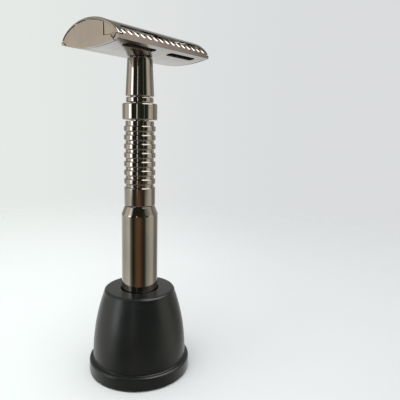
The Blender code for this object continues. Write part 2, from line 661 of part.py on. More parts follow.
def make_lifter():
    """The cross bar under the blade rest, and the rod that pushes it up."""
    foot = GUARD_BASE_Z + BAR_BASE
    top = foot + BAR_HEIGHT
    bar = block((-PLATE_HALF, -BAR_WIDTH / 2, foot), (PLATE_HALF, BAR_WIDTH / 2, top))
    bar = finish("lift_bar", bar, DARK_STEEL, 1.0, 0.35)
    hole = rod(TENON_RADIUS + PIN_GAP, (0, 0, foot - CUT_BEYOND),
               (0, 0, BAR_HEIGHT + 2 * CUT_BEYOND), PIN_SIDES)
    boolean(bar, cutter("tenon_hole", hole), "DIFFERENCE")
    shoulder = foot - PIN_GAP
    screw_top = NUT_TOP_Z + FIT_GAP
    outline = [(0, ROD_FOOT_Z), (SCREW_RADIUS, ROD_FOOT_Z), (SCREW_RADIUS, screw_top),
               (ROD_RADIUS, screw_top), (ROD_RADIUS, shoulder), (TENON_RADIUS, shoulder),
               (TENON_RADIUS, top), (0, top)]
    round_shade(finish("lift_rod", turn(outline, COARSE, closed=False), BRIGHT_STEEL, 1.0, 0.3))


def grip_outline():
    """The sleeve's outer side, foot to top: a plain band, then ribs between grooves."""
    points = [(GRIP_RADIUS - GROOVE_BEVEL, GRIP_FOOT_Z), (GRIP_RADIUS, GRIP_FOOT_Z + GROOVE_BEVEL)]
    groove = GRIP_RADIUS - GROOVE_DEPTH
    half = GROOVE_WIDTH / 2
    for index in reversed(range(GROOVE_COUNT)):
        middle = GRIP_TOP_Z - FIRST_GROOVE_DROP - index * GROOVE_PITCH
        points += [(GRIP_RADIUS, middle - half - GROOVE_BEVEL), (groove, middle - half),
                   (groove, middle + half)]
        if index:
            points.append((GRIP_RADIUS, middle + half + GROOVE_BEVEL))
    return points + [(groove, GRIP_TOP_Z)]


def make_handle():
    neck = turn([(CORE_HOLE, NECK_FOOT_Z), (NECK_FOOT_RADIUS, NECK_FOOT_Z),
                 (NECK_TOP_RADIUS, NECK_TOP_Z), (CORE_HOLE, NECK_TOP_Z)], FINE)
    round_shade(finish("neck_tube", neck, GUNMETAL, 1.0, 0.15))
    collar = ring(CORE_HOLE, COLLAR_RADIUS, COLLAR_FOOT_Z, COLLAR_FOOT_Z + COLLAR_HEIGHT,
                  FINE, COLLAR_CHAMFER)
    round_shade(finish("grip_collar", collar, GUNMETAL, 1.0, 0.15))
    band = ring(CORE_HOLE, RING_RADIUS, RING_FOOT_Z, RING_FOOT_Z + RING_HEIGHT, FINE,
                RING_CHAMFER)
    round_shade(finish("neck_ring", band, GUNMETAL, 1.0, 0.15))
    sleeve = turn([(CORE_HOLE, GRIP_FOOT_Z)] + grip_outline() + [(CORE_HOLE, GRIP_TOP_Z)], FINE)
    round_shade(finish("grip_sleeve", sleeve, GUNMETAL, 1.0, 0.15), 25)
    groove = CORE_RADIUS - CIRCLIP_GROOVE_DEPTH
    groove_foot = CIRCLIP_TOP_Z - CIRCLIP_HEIGHT - PIN_GAP
    core = turn([(CORE_BORE, CORE_FOOT_Z), (CORE_RADIUS, CORE_FOOT_Z), (CORE_RADIUS, groove_foot),
                 (groove, groove_foot), (groove, CIRCLIP_TOP_Z + PIN_GAP),
                 (CORE_RADIUS, CIRCLIP_TOP_Z + PIN_GAP), (CORE_RADIUS, CORE_TOP_Z),
                 (CORE_BORE, CORE_TOP_Z)], COARSE)
    round_shade(finish("core_tube", core, BRIGHT_STEEL, 1.0, 0.35))
    clip = ring(groove + PIN_GAP, CORE_RADIUS + CIRCLIP_REACH, CIRCLIP_TOP_Z - CIRCLIP_HEIGHT,
                CIRCLIP_TOP_Z, COARSE)
    round_shade(finish("knob_circlip", clip, DARK_STEEL, 1.0, 0.4))
    washer = ring(CORE_HOLE, KNOB_BORE - 2 * FIT_GAP, WASHER_TOP_Z - WASHER_HEIGHT, WASHER_TOP_Z,
                  COARSE)
    round_shade(finish("knob_washer", washer, BRASS, 1.0, 0.4))


def make_knob():
    cone_foot = KNOB_TOP_Z - KNOB_CONE
    lip = KNOB_TOP_Z - KNOB_LIP
    top_radius = KNOB_RADIUS - KNOB_CONE_INSET
    knob = turn([(KNOB_BORE, KNOB_FOOT_Z), (KNOB_RADIUS, KNOB_FOOT_Z), (KNOB_RADIUS, cone_foot),
                 (KNOB_RADIUS - KNOB_CONE_INSET / 2, cone_foot + KNOB_SHOULDER),
                 (top_radius, KNOB_TOP_Z), (CORE_HOLE, KNOB_TOP_Z), (CORE_HOLE, lip),
                 (KNOB_BORE, lip)], FINE)
    round_shade(finish("twist_knob", knob, GUNMETAL, 1.0, 0.12))
    fit = KNOB_BORE - FIT_GAP
    cap = turn([(0, RAZOR_FOOT_Z), (KNOB_RADIUS - COLLAR_CHAMFER, RAZOR_FOOT_Z),
                (KNOB_RADIUS, RAZOR_FOOT_Z + COLLAR_CHAMFER), (KNOB_RADIUS, CAP_TOP_Z),
                (fit, CAP_TOP_Z), (fit, CAP_TOP_Z + END_CAP_PLUG),
                (0, CAP_TOP_Z + END_CAP_PLUG)], FINE, closed=False)
    round_shade(finish("knob_end_cap", cap, GUNMETAL, 1.0, 0.15))
    bush = ring(CORE_HOLE, fit, BUSH_TOP_Z - BUSH_HEIGHT, BUSH_TOP_Z, COARSE)
    round_shade(finish("knob_bush", bush, BRASS, 1.0, 0.35))
    nut = ring(SCREW_RADIUS + FIT_GAP, fit, NUT_FOOT_Z, NUT_TOP_Z, COARSE)
    round_shade(finish("drive_nut", nut, BRASS, 1.0, 0.35))


def bell_radius(z):
    """The bell's outer side, a curve that is steep at its foot."""
    share = (z - FLANGE_HEIGHT) / (STAND_HEIGHT - STAND_LIP - FLANGE_HEIGHT)
    return BELL_RADIUS - (BELL_RADIUS - STAND_TOP_RADIUS) * share ** BELL_STEEPNESS


def stand_outline():
    """The body's half section: hollow, groove for the foot ring, flange, bell and socket."""
    base = FOOT_PROUD
    roof = SOCKET_FLOOR_Z - SOCKET_FLOOR
    groove_top = base + FOOT_GROOVE
    outline = [(0, roof), (HOLLOW_RADIUS, roof), (HOLLOW_RADIUS, base),
               (FOOT_INNER - FIT_GAP, base), (FOOT_INNER - FIT_GAP, groove_top),
               (FOOT_OUTER + FIT_GAP, groove_top), (FOOT_OUTER + FIT_GAP, base),
               (FLANGE_RADIUS - FIT_GAP, base), (FLANGE_RADIUS, base + FIT_GAP)]
    outline += rounded(FLANGE_RADIUS, FLANGE_HEIGHT, FLANGE_ROUND, 0)
    lip_foot = STAND_HEIGHT - STAND_LIP
    outline += [(bell_radius(z), z) for z in spaced(FLANGE_HEIGHT, lip_foot, 10)]
    outline += rounded(STAND_TOP_RADIUS, STAND_HEIGHT, STAND_LIP, 0)[1:]
    return outline + [(SOCKET_RADIUS + FIT_GAP, STAND_HEIGHT),
                      (SOCKET_RADIUS, STAND_HEIGHT - FIT_GAP),
                      (SOCKET_RADIUS, SOCKET_FLOOR_Z), (0, SOCKET_FLOOR_Z)]


def disc(radius, foot, top):
    return turn([(0, foot), (radius, foot), (radius, top), (0, top)], COARSE, closed=False)


def cover_screw(clearance, foot, place):
    """A screw of the base cover, or with a clearance the hole for it."""
    head = COVER_SCREW_HEAD + clearance
    shank = COVER_SCREW_RADIUS + clearance
    head_top = FOOT_PROUD + COVER_LEDGE + COVER_SCREW_HEAD_HEIGHT + clearance
    top = FOOT_PROUD + COVER_LEDGE + COVER_SCREW_LENGTH + clearance
    shape = turn([(0, foot), (head, foot), (head, head_top), (shank, head_top), (shank, top),
                  (0, top)], COARSE, closed=False)
    bmesh.ops.translate(shape, verts=shape.verts, vec=place)
    return shape


def make_stand():
    round_shade(finish("stand_body", turn(stand_outline(), FINE, closed=False), BLACK, 0.0, 0.45))
    fit = HOLLOW_RADIUS - FIT_GAP
    cover_foot = FOOT_PROUD + COVER_LEDGE
    cover_top = cover_foot + COVER_WALL
    cover = finish("stand_base_cover", disc(fit, cover_foot, cover_top), BLACK, 0.0, 0.6)
    weight = disc(fit, cover_top + FIT_GAP, SOCKET_FLOOR_Z - SOCKET_FLOOR - FIT_GAP)
    weight = finish("stand_weight", weight, DARK_STEEL, 1.0, 0.6)
    foot = ring(FOOT_INNER, FOOT_OUTER, 0, FOOT_PROUD + FOOT_GROOVE - FIT_GAP, FINE)
    round_shade(finish("stand_foot_ring", foot, BLACK, 0.0, 0.9))
    circle = HOLLOW_RADIUS - COVER_SCREW_FROM_EDGE
    holes = []
    for index in range(COVER_SCREW_COUNT):
        angle = pi / 2 + 2 * pi * index / COVER_SCREW_COUNT
        place = (circle * cos(angle), circle * sin(angle), 0)
        screw = cover_screw(0, cover_foot, place)
        round_shade(finish(f"cover_screw_{index + 1}", screw, BRIGHT_STEEL, 1.0, 0.35))
        holes.append(cover_screw(FIT_GAP, cover_foot - CUT_BEYOND, place))
    helper = cutter("cover_screw_holes", merged(holes))
    boolean(weight, helper, "DIFFERENCE")
    boolean(cover, helper, "DIFFERENCE")


def main():
    clear_scene()
    make_stand()
    make_knob()
    make_handle()
    make_guard_plate()
    make_blade_rest()
    make_blade()
    make_lifter()
    make_end_plate("end_plate_right", False)
    make_end_plate("end_plate_left", True)
    make_hinge_pins()
    make_door("rear_door", False)
    make_door("front_door", True)


main()
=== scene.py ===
"""Looks of the twist-to-open safety razor in its bell stand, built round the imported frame."""

from math import asin, cos, log, pi, radians, sin, sqrt, tan

import bmesh
import bpy
from mathutils import Matrix, Vector


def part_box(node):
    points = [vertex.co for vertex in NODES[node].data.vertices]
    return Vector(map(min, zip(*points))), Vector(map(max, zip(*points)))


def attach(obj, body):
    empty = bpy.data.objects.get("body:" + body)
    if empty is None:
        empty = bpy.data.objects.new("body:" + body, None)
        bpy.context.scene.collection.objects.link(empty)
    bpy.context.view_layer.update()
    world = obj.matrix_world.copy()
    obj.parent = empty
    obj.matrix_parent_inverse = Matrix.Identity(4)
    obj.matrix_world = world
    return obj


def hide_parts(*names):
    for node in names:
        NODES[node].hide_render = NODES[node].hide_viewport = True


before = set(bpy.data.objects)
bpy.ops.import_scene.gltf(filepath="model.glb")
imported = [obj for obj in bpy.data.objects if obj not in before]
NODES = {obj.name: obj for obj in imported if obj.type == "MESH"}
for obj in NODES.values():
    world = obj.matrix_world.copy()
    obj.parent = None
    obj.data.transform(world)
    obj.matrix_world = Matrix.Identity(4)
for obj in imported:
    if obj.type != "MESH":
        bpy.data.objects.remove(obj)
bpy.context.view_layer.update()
MM = 0.001
GAP = 0.3 * MM                 # between pieces that meet
FINE_EDGE = 0.1 * MM           # rounding of an edge that hardly shows

# The frame's sizes, read from the nodes' boxes
GUARD_LOW, GUARD_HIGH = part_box("guard_plate")
KNOB_LOW, KNOB_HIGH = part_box("twist_knob")
CAP_LOW, CAP_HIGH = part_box("knob_end_cap")
SLEEVE_LOW, SLEEVE_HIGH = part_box("grip_sleeve")
COLLAR_LOW, COLLAR_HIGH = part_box("grip_collar")
RING_LOW, RING_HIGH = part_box("neck_ring")
NECK_LOW, NECK_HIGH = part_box("neck_tube")
STAND_LOW, STAND_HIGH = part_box("stand_body")
FOOT_LOW, FOOT_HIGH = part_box("stand_foot_ring")
DOOR_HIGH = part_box("rear_door")[1]
BLADE_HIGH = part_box("blade")[1]
PLATE_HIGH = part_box("end_plate_right")[1]
CORE_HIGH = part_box("core_tube")[1]

# Head, in the order of the shapes below
BELLY_DROP = 1.75 * MM
GUARD_BASE = GUARD_LOW.z + BELLY_DROP
HALF_WIDTH = GUARD_HIGH.y
HALF_LENGTH = GUARD_HIGH.x
END_WALL = PLATE_HIGH.x - BLADE_HIGH.x - GAP
END_INNER = HALF_LENGTH - END_WALL
BLADE_SIDE = BLADE_HIGH.y
GUARD_RISE = GUARD_HIGH.z - GUARD_BASE
PLATE_WALL = 0.90 * MM
GUARD_TOP_WIDTH = 1.5 * MM
GUARD_LEAN = 0.16 * MM         # how far the bar's top leans in
GUARD_STRAIGHT = GUARD_RISE - 0.26 * MM    # plain part of the bar's outer face
GUARD_FOOT_SETBACK = 0.5 * MM  # where the belly ends and the bar's foot begins
GUARD_FOOT_ROUND = 0.22 * MM
DOOR_SIDE = HALF_WIDTH - 0.10 * MM
DOOR_RISE = DOOR_HIGH.z - GUARD_BASE
DOOR_EDGE_RISE = 1.40 * MM
DOOR_WALL = 0.48 * MM
DOOR_LIP_WALL = 0.36 * MM
DOOR_CORNER_WALL = 0.55 * MM
LIP_SIDE = BLADE_SIDE - 0.20 * MM
LIP_RISE = 4.00 * MM
LIP_SHOWN = LIP_SIDE - 0.55 * MM     # where the clamping edge is ground back to
DOOR_TAPER = 2.1 * MM
DOOR_SEAM = 0.30 * MM
DOOR_FULLNESS = (log((LIP_RISE - DOOR_EDGE_RISE) / (DOOR_RISE - DOOR_EDGE_RISE))
                 / log(1 - (LIP_SIDE / DOOR_SIDE) ** 2))
NOTCH_HALF = 19.2 * MM
NOTCH_FLARE = 1.85 * MM
DOOR_END_ROUND = 0.62 * MM
LOBE_EDGE = HALF_WIDTH - 6.05 * MM
LOBE_RISE = 1.27 * MM
SLIT_FLARE = 0.22 * MM         # how much the slit beside the lobe widens downwards
HINGE_SIDE = HALF_WIDTH - 2.15 * MM
HINGE_RISE = 1.10 * MM
LUG_RADIUS = 0.75 * MM
PIN_HOLE = 0.50 * MM
FLUTE_COUNT = 15
FLUTE_PITCH = 2.80 * MM
FLUTE_RADIUS = 0.78 * MM
FLUTE_FOOT_RISE = 1.72 * MM    # the pointed foot of a flute
FLUTE_LEAN = radians(50)       # how far a flute leans along the bar
FLUTE_DIVE = radians(32)       # how steeply it runs into the bar
FLUTE_REACH = 9.0 * MM
END_STEP_START = NOTCH_HALF + 1.4 * MM    # from here out the guard bar is cut low
END_STEP_RISE = 1.10 * MM
HINGE_ROOM = 0.45 * MM         # room round a hinge eye
ROOT_SETBACK = 0.7 * MM
DRAIN_LENGTH = 14.2 * MM
DRAIN_WIDTH = 2.8 * MM
DRAIN_OFFSET = 10.25 * MM
DRAIN_FROM_SIDE = 3.3 * MM
CORE_HOLE = CORE_HIGH.x + GAP

# Handle and stand
SUPPORT = 0.05 * MM            # keeps a flat stretch flat beside a rounded edge
GROOVE_COUNT = 8
GROOVE_PITCH = 3.12 * MM
GROOVE_WIDTH = 1.15 * MM
GROOVE_DEPTH = 0.55 * MM
FIRST_GROOVE_DROP = 1.15 * MM
RIB_ROUND = 0.34 * MM
GROOVE_ROUND = 0.14 * MM
SLEEVE_EDGE = 0.08 * MM
SLEEVE_FOOT_ROUND = 0.3 * MM
NECK_TAPER = 0.68 * MM
KNOB_WALL = 1.65 * MM
KNOB_SHOULDER = 2.6 * MM       # thickness of the knob's closed top
CONE_HEIGHT = 3.0 * MM
CONE_DROP = 1.2 * MM
CONE_ROUND = 1.6 * MM
STAND_TOP_RADIUS = 13.2 * MM
STAND_LIP = 1.1 * MM
BELL_RADIUS = 17.5 * MM
BELL_STEEPNESS = 2.1
FLANGE_HEIGHT = 5.3 * MM
FLANGE_ROUND = 0.9 * MM
BELL_FOOT = FLANGE_HEIGHT + 1.2 * MM
SOCKET_WALL = 2.2 * MM
FOOT_RING_WALL = 1.2 * MM
FOOT_GROOVE = 0.9 * MM
FOOT_WIDTH = 1.9 * MM
SIDES = 128

# The camera's place, turn and lens, and the one lamp
CAMERA_PLACE = Vector((-0.11340, -0.11033, 0.09226))
CAMERA_TURN = radians(53.82)
CAMERA_DIP = radians(9.585)
CAMERA_ROLL = radians(1.41)
CAMERA_LENS = 38.94
LAMP_PLACE = (-0.25, -0.05, 0.75)
LAMP_AIM = (0, 0, 0.03)
LAMP_SIZE = 0.6
LAMP_POWER = 2.6


# ---- shader helpers ----

class Value:
    """A shader socket that can be used in a sum: an expression adds its Math nodes."""

    def __init__(self, tree, socket):
        self.tree = tree
        self.socket = socket

    def math(self, operation, *terms, clamp=False):
        node = self.tree.nodes.new("ShaderNodeMath")
        node.operation = operation
        node.use_clamp = clamp
        for place, term in zip(node.inputs, terms):
            if isinstance(term, Value):
                self.tree.links.new(term.socket, place)
            else:
                place.default_value = term
        return Value(self.tree, node.outputs[0])

    def __add__(self, other):
        return self.math("ADD", self, other)

    def __radd__(self, other):
        return self.math("ADD", other, self)

    def __sub__(self, other):
        return self.math("SUBTRACT", self, other)

    def __rsub__(self, other):
        return self.math("SUBTRACT", other, self)

    def __mul__(self, other):
        return self.math("MULTIPLY", self, other)

    def __rmul__(self, other):
        return self.math("MULTIPLY", other, self)

    def __truediv__(self, other):
        return self.math("DIVIDE", self, other)

    def __pow__(self, other):
        return self.math("POWER", self, other)

    def step(self, low, high):
        """0 below low, 1 above high, smooth between."""
        node = self.tree.nodes.new("ShaderNodeMapRange")
        node.interpolation_type = "SMOOTHSTEP"
        node.inputs["From Min"].default_value = low
        node.inputs["From Max"].default_value = high
        self.tree.links.new(self.socket, node.inputs["Value"])
        return Value(self.tree, node.outputs["Result"])


class Nodes:
    """Adds nodes of any kind to one tree."""

    def __init__(self, tree):
        self.tree = tree

    def add(self, kind, settings=None, **inputs):
        node = self.tree.nodes.new(kind)
        for name, value in (settings or {}).items():
            if name == "stops":
                self.set_stops(node.color_ramp, value)
            else:
                setattr(node, name, value)
        for name, value in inputs.items():
            place = self.socket(node, name)
            if isinstance(value, Value):
                self.tree.links.new(value.socket, place)
            elif isinstance(value, bpy.types.NodeSocket):
                self.tree.links.new(value, place)
            else:
                place.default_value = value
        return node

    @staticmethod
    def socket(node, name):
        """A socket by its name with _ for spaces, or by its number after n."""
        if name[0] == "n" and name[1:].isdigit():
            return node.inputs[int(name[1:])]
        return node.inputs[name.replace("_", " ")]

    @staticmethod
    def set_stops(ramp, stops):
        while len(ramp.elements) > 1:
            ramp.elements.remove(ramp.elements[-1])
        for index, (place, colour) in enumerate(stops):
            element = ramp.elements[0] if index == 0 else ramp.elements.new(place)
            element.position = place
            element.color = (*colour, 1.0)

    def value(self, node, name="Fac"):
        return Value(self.tree, node.outputs[name])

    def mix(self, factor, low, high):
        """A colour between two colours or colour sockets."""
        node = self.add("ShaderNodeMix", {"data_type": "RGBA"}, n0=factor)
        for place, colour in ((node.inputs[6], low), (node.inputs[7], high)):
            if isinstance(colour, bpy.types.NodeSocket):
                self.tree.links.new(colour, place)
            else:
                place.default_value = (*colour, 1.0)
        return node.outputs[2]


def new_material(name):
    material = bpy.data.materials.new(name)
    material.use_nodes = True
    nodes = Nodes(material.node_tree)
    shader = material.node_tree.nodes["Principled BSDF"]
    place = nodes.add("ShaderNodeTexCoord").outputs["Object"]
    return material, nodes, shader, place


def stretched(nodes, place, scale):
    """Object coordinates in millimetres, stretched by scale on each axis."""
    factors = tuple(part / MM for part in scale)
    return nodes.add("ShaderNodeMapping", {}, Vector=place, Scale=factors).outputs["Vector"]


def noise(nodes, place, scale, detail=3.0, roughness=0.55):
    return nodes.value(nodes.add("ShaderNodeTexNoise", {}, Vector=place, Scale=scale,
                                 Detail=detail, Roughness=roughness))


def polished(name, dark, light, shine, grain, grain_height, smudge=0.04):
    """Plated metal: a slow shift of tone, wiping marks in the gloss and a fine grain."""
    material, nodes, shader, place = new_material(name)
    shader.inputs["Metallic"].default_value = 1.0
    slow = noise(nodes, stretched(nodes, place, (0.09, 0.09, 0.06)), 1.0)
    colour = nodes.mix(slow.step(0.35, 0.65), dark, light)
    nodes.tree.links.new(colour, shader.inputs["Base Color"])
    wiped = noise(nodes, stretched(nodes, place, (0.5, 0.5, 0.12)), 1.0, detail=5.0)
    fine = noise(nodes, stretched(nodes, place, grain), 1.0, detail=2.0)
    gloss = shine + smudge * wiped.step(0.45, 0.75) + 0.02 * fine
    nodes.tree.links.new(gloss.socket, shader.inputs["Roughness"])
    bump = nodes.add("ShaderNodeBump", {}, Height=fine, Strength=1.0, Distance=grain_height)
    nodes.tree.links.new(bump.outputs["Normal"], shader.inputs["Normal"])
    return material


def moulded(name, dark, light, shine, pit_size, pit_height, specular=0.5):
    """Moulded or rubbery surface: fine pits, a slow shift of tone and uneven gloss."""
    material, nodes, shader, place = new_material(name)
    shader.inputs["Specular IOR Level"].default_value = specular
    slow = noise(nodes, stretched(nodes, place, (0.12, 0.12, 0.12)), 1.0, detail=4.0)
    pits = noise(nodes, stretched(nodes, place, (pit_size,) * 3), 1.0, detail=2.0)
    colour = nodes.mix(slow.step(0.3, 0.7), dark, light)
    nodes.tree.links.new(colour, shader.inputs["Base Color"])
    gloss = shine + 0.07 * slow + 0.05 * pits
    nodes.tree.links.new(gloss.socket, shader.inputs["Roughness"])
    bump = nodes.add("ShaderNodeBump", {}, Height=pits, Strength=1.0, Distance=pit_height)
    nodes.tree.links.new(bump.outputs["Normal"], shader.inputs["Normal"])
    return material


GUNMETAL = polished("gunmetal_polish", (0.300, 0.272, 0.252), (0.345, 0.312, 0.286), 0.045,
                    (0.6, 0.6, 14.0), 0.0015 * MM)
SATIN_GUNMETAL = polished("gunmetal_satin", (0.33, 0.305, 0.29), (0.375, 0.35, 0.335), 0.20,
                          (9.0, 9.0, 9.0), 0.004 * MM)
BLADE_STEEL = polished("blade_steel", (0.55, 0.55, 0.56), (0.63, 0.63, 0.64), 0.16,
                       (0.8, 12.0, 0.8), 0.002 * MM)
PLAIN_STEEL = polished("turned_steel", (0.38, 0.38, 0.39), (0.46, 0.46, 0.47), 0.24,
                       (1.0, 1.0, 8.0), 0.004 * MM)
BRASS = polished("turned_brass", (0.60, 0.42, 0.16), (0.72, 0.54, 0.24), 0.22,
                 (1.0, 1.0, 8.0), 0.004 * MM)
CAST_IRON = moulded("cast_iron", (0.10, 0.098, 0.095), (0.17, 0.165, 0.16), 0.55, 3.0, 0.06 * MM)
STAND_BLACK = moulded("stand_black", (0.0065, 0.0080, 0.0075), (0.0095, 0.0115, 0.0108), 0.25,
                      6.0, 0.004 * MM, specular=0.38)
COVER_BLACK = moulded("cover_black", (0.02, 0.021, 0.022), (0.03, 0.031, 0.032), 0.5,
                      4.0, 0.02 * MM)
RUBBER = moulded("foot_rubber", (0.015, 0.015, 0.015), (0.026, 0.026, 0.026), 0.7,
                 3.0, 0.03 * MM, specular=0.3)


# ---- mesh helpers ----

def make_object(name, mesh, material):
    mesh.materials.clear()
    mesh.materials.append(material)
    obj = bpy.data.objects.new(name, mesh)
    bpy.context.scene.collection.objects.link(obj)
    return obj


def from_points(name, points, faces, material, crease=32):
    """A mesh with its doubles merged, its faces turned outwards and its edges kept sharp."""
    shape = bmesh.new()
    corners = [shape.verts.new(point) for point in points]
    for face in faces:
        shape.faces.new([corners[index] for index in face])
    return from_bmesh(name, shape, material, crease)


def from_bmesh(name, shape, material, crease=32):
    bmesh.ops.remove_doubles(shape, verts=shape.verts, dist=1e-7)
    bmesh.ops.dissolve_degenerate(shape, edges=shape.edges, dist=1e-8)
    bmesh.ops.recalc_face_normals(shape, faces=shape.faces)
    mesh = bpy.data.meshes.new(name)
    shape.to_mesh(mesh)
    shape.free()
    smooth(mesh, crease)
    return make_object(name, mesh, material)


def smooth(mesh, crease):
    mesh.shade_smooth()
    mesh.set_sharp_from_angle(angle=radians(crease))


def keep_ends_flat(mesh):
    """Sharpens the outline of every face that lies square to the head's length."""
    ends = set()
    others = set()
    for face in mesh.polygons:
        (ends if abs(face.normal.x) > 0.9999 else others).update(face.edge_keys)
    for edge in mesh.edges:
        if edge.key in ends and edge.key in others:
            edge.use_edge_sharp = True


def filleted(corners, closed=True, steps=6):
    """Outline through (across, up, radius) corners. A rounded corner becomes an arc, with a
    close point before and after it, so that what lies between stays flat in a reflection."""
    count = len(corners)
    points = []
    for index, (across, up, radius) in enumerate(corners):
        here = Vector((across, up))
        if radius == 0 or (not closed and index in (0, count - 1)):
            points.append(here)
            continue
        back = (Vector(corners[index - 1][:2]) - here).normalized()
        ahead = (Vector(corners[(index + 1) % count][:2]) - here).normalized()
        half = back.angle(ahead) / 2
        reach = radius / tan(half)
        middle = here + (back + ahead).normalized() * radius / sin(half)
        start = here + back * reach
        end = here + ahead * reach
        points.append(start + back * SUPPORT)
        for step in range(steps + 1):
            spoke = (start - middle).lerp(end - middle, step / steps).normalized()
            points.append(middle + spoke * radius)
        points.append(end + ahead * SUPPORT)
    return points


def turned(name, outline, material, closed=True, sides=SIDES, crease=32):
    """Spins (radius, z) points about the razor's axis into a closed solid."""
    points = []
    rows = []
    for radius, z in outline:
        if abs(radius) < 1e-9:
            rows.append([len(points)] * sides)
            points.append((0, 0, z))
            continue
        rows.append(list(range(len(points), len(points) + sides)))
        for side in range(sides):
            angle = 2 * pi * side / sides
            points.append((radius * cos(angle), radius * sin(angle), z))
    pairs = list(zip(rows, rows[1:]))
    if closed:
        pairs.append((rows[-1], rows[0]))
    faces = []
    for low, high in pairs:
        for side in range(sides):
            after = (side + 1) % sides
            face = dict.fromkeys((low[side], low[after], high[after], high[side]))
            if len(face) > 2:
                faces.append(tuple(face))
    return from_points(name, points, faces, material, crease)


def prism(name, outline, start, end, material, crease=32):
    """Pushes a (y, rise) outline along X; rise counts from the guard's lower corner."""
    shape = bmesh.new()
    low = [shape.verts.new((start, y, GUARD_BASE + rise)) for y, rise in outline]
    face = shape.faces.new(low)
    pushed = bmesh.ops.extrude_face_region(shape, geom=[face])
    moved = [item for item in pushed["geom"] if isinstance(item, bmesh.types.BMVert)]
    bmesh.ops.translate(shape, verts=moved, vec=(end - start, 0, 0))
    return from_bmesh(name, shape, material, crease)


def box(name, low, high):
    shape = bmesh.new()
    bmesh.ops.create_cube(shape, size=1.0)
    size = Vector(high) - Vector(low)
    middle = (Vector(high) + Vector(low)) / 2
    for vert in shape.verts:
        vert.co = Vector((vert.co.x * size.x, vert.co.y * size.y, vert.co.z * size.z)) + middle
    return from_bmesh(name, shape, GUNMETAL)


def bar(name, radius, start, travel, sides=32):
    """A round bar from start along travel."""
    ahead = Vector(travel)
    shape = bmesh.new()
    bmesh.ops.create_cone(shape, cap_ends=True, segments=sides, radius1=radius,
                          radius2=radius, depth=ahead.length)
    spin = ahead.to_track_quat("Z", "Y").to_matrix().to_4x4()
    middle = Vector(start) + ahead / 2
    bmesh.ops.transform(shape, verts=shape.verts, matrix=Matrix.Translation(middle) @ spin)
    return from_bmesh(name, shape, GUNMETAL)


def half_turn(obj):
    obj.data.transform(Matrix.Rotation(pi, 4, "Z"))
    return obj


def evaluated_mesh(obj, name):
    """The object's mesh with its modifiers applied, as a plain mesh."""
    bpy.context.view_layer.update()
    graph = bpy.context.evaluated_depsgraph_get()
    mesh = bpy.data.meshes.new_from_object(obj.evaluated_get(graph), depsgraph=graph)
    mesh.name = name
    return mesh


def combine(obj, others, operation, crease=32):
    """Cuts or joins the others into obj for good, and removes them."""
    for other in others:
        modifier = obj.modifiers.new(other.name, "BOOLEAN")
        modifier.operation = operation
        modifier.solver = "EXACT"
        modifier.object = other
    mesh = evaluated_mesh(obj, obj.name)
    obj.modifiers.clear()
    obj.data = mesh
    smooth(mesh, crease)
    for other in others:
        bpy.data.objects.remove(other)
    return obj


def spaced(start, end, count):
    return [start + (end - start) * step / count for step in range(count + 1)]


# ---- curves of the head, in (y, rise) ----

def belly(y):
    return -BELLY_DROP * (1 - (y / HALF_WIDTH) ** 2)


def door_curve(y, depth):
    """A point of the door's section, depth under its outer curve at y."""
    share = y / DOOR_SIDE
    height = DOOR_RISE - DOOR_EDGE_RISE
    if share > 0.9999:
        return DOOR_SIDE - depth, DOOR_EDGE_RISE
    left = 1 - share ** 2
    rise = DOOR_EDGE_RISE + height * left ** DOOR_FULLNESS
    slope = -height * DOOR_FULLNESS * left ** (DOOR_FULLNESS - 1) * 2 * share / DOOR_SIDE
    length = sqrt(1 + slope ** 2)
    return y + depth * slope / length, rise - depth / length


def door_wall(y):
    if y <= LIP_SIDE - DOOR_TAPER:
        return DOOR_WALL
    if y <= LIP_SIDE:
        return DOOR_WALL + (DOOR_LIP_WALL - DOOR_WALL) * (1 - (LIP_SIDE - y) / DOOR_TAPER)
    share = (y - LIP_SIDE) / (DOOR_SIDE - LIP_SIDE)
    return DOOR_LIP_WALL + (DOOR_CORNER_WALL - DOOR_LIP_WALL) * share


def notch_side(x):
    """Where the door's side ends at x: the clamping edge, then a sweep out to the full width."""
    share = (abs(x) - NOTCH_HALF) / NOTCH_FLARE
    share = min(max(share, 0.0), 1.0)
    return LIP_SHOWN + (DOOR_SIDE - LIP_SHOWN) * sin(share * pi / 2) ** 0.8


# ---- head ----

def door_stations():
    """Places along the door, each with how far its outer skin has rounded in."""
    straight = HALF_LENGTH - DOOR_END_ROUND
    stations = [(x, 0.0) for x in spaced(0, NOTCH_HALF, 6)]
    stations += [(x, 0.0) for x in spaced(NOTCH_HALF, NOTCH_HALF + NOTCH_FLARE, 12)[1:]]
    stations.append((straight - SUPPORT, 0.0))
    for turn in spaced(0, pi / 2, 8):
        stations.append((straight + DOOR_END_ROUND * sin(turn),
                         DOOR_END_ROUND * (1 - cos(turn))))
    stations = sorted(set(stations))
    return [(-x, depth) for x, depth in reversed(stations[1:])] + stations


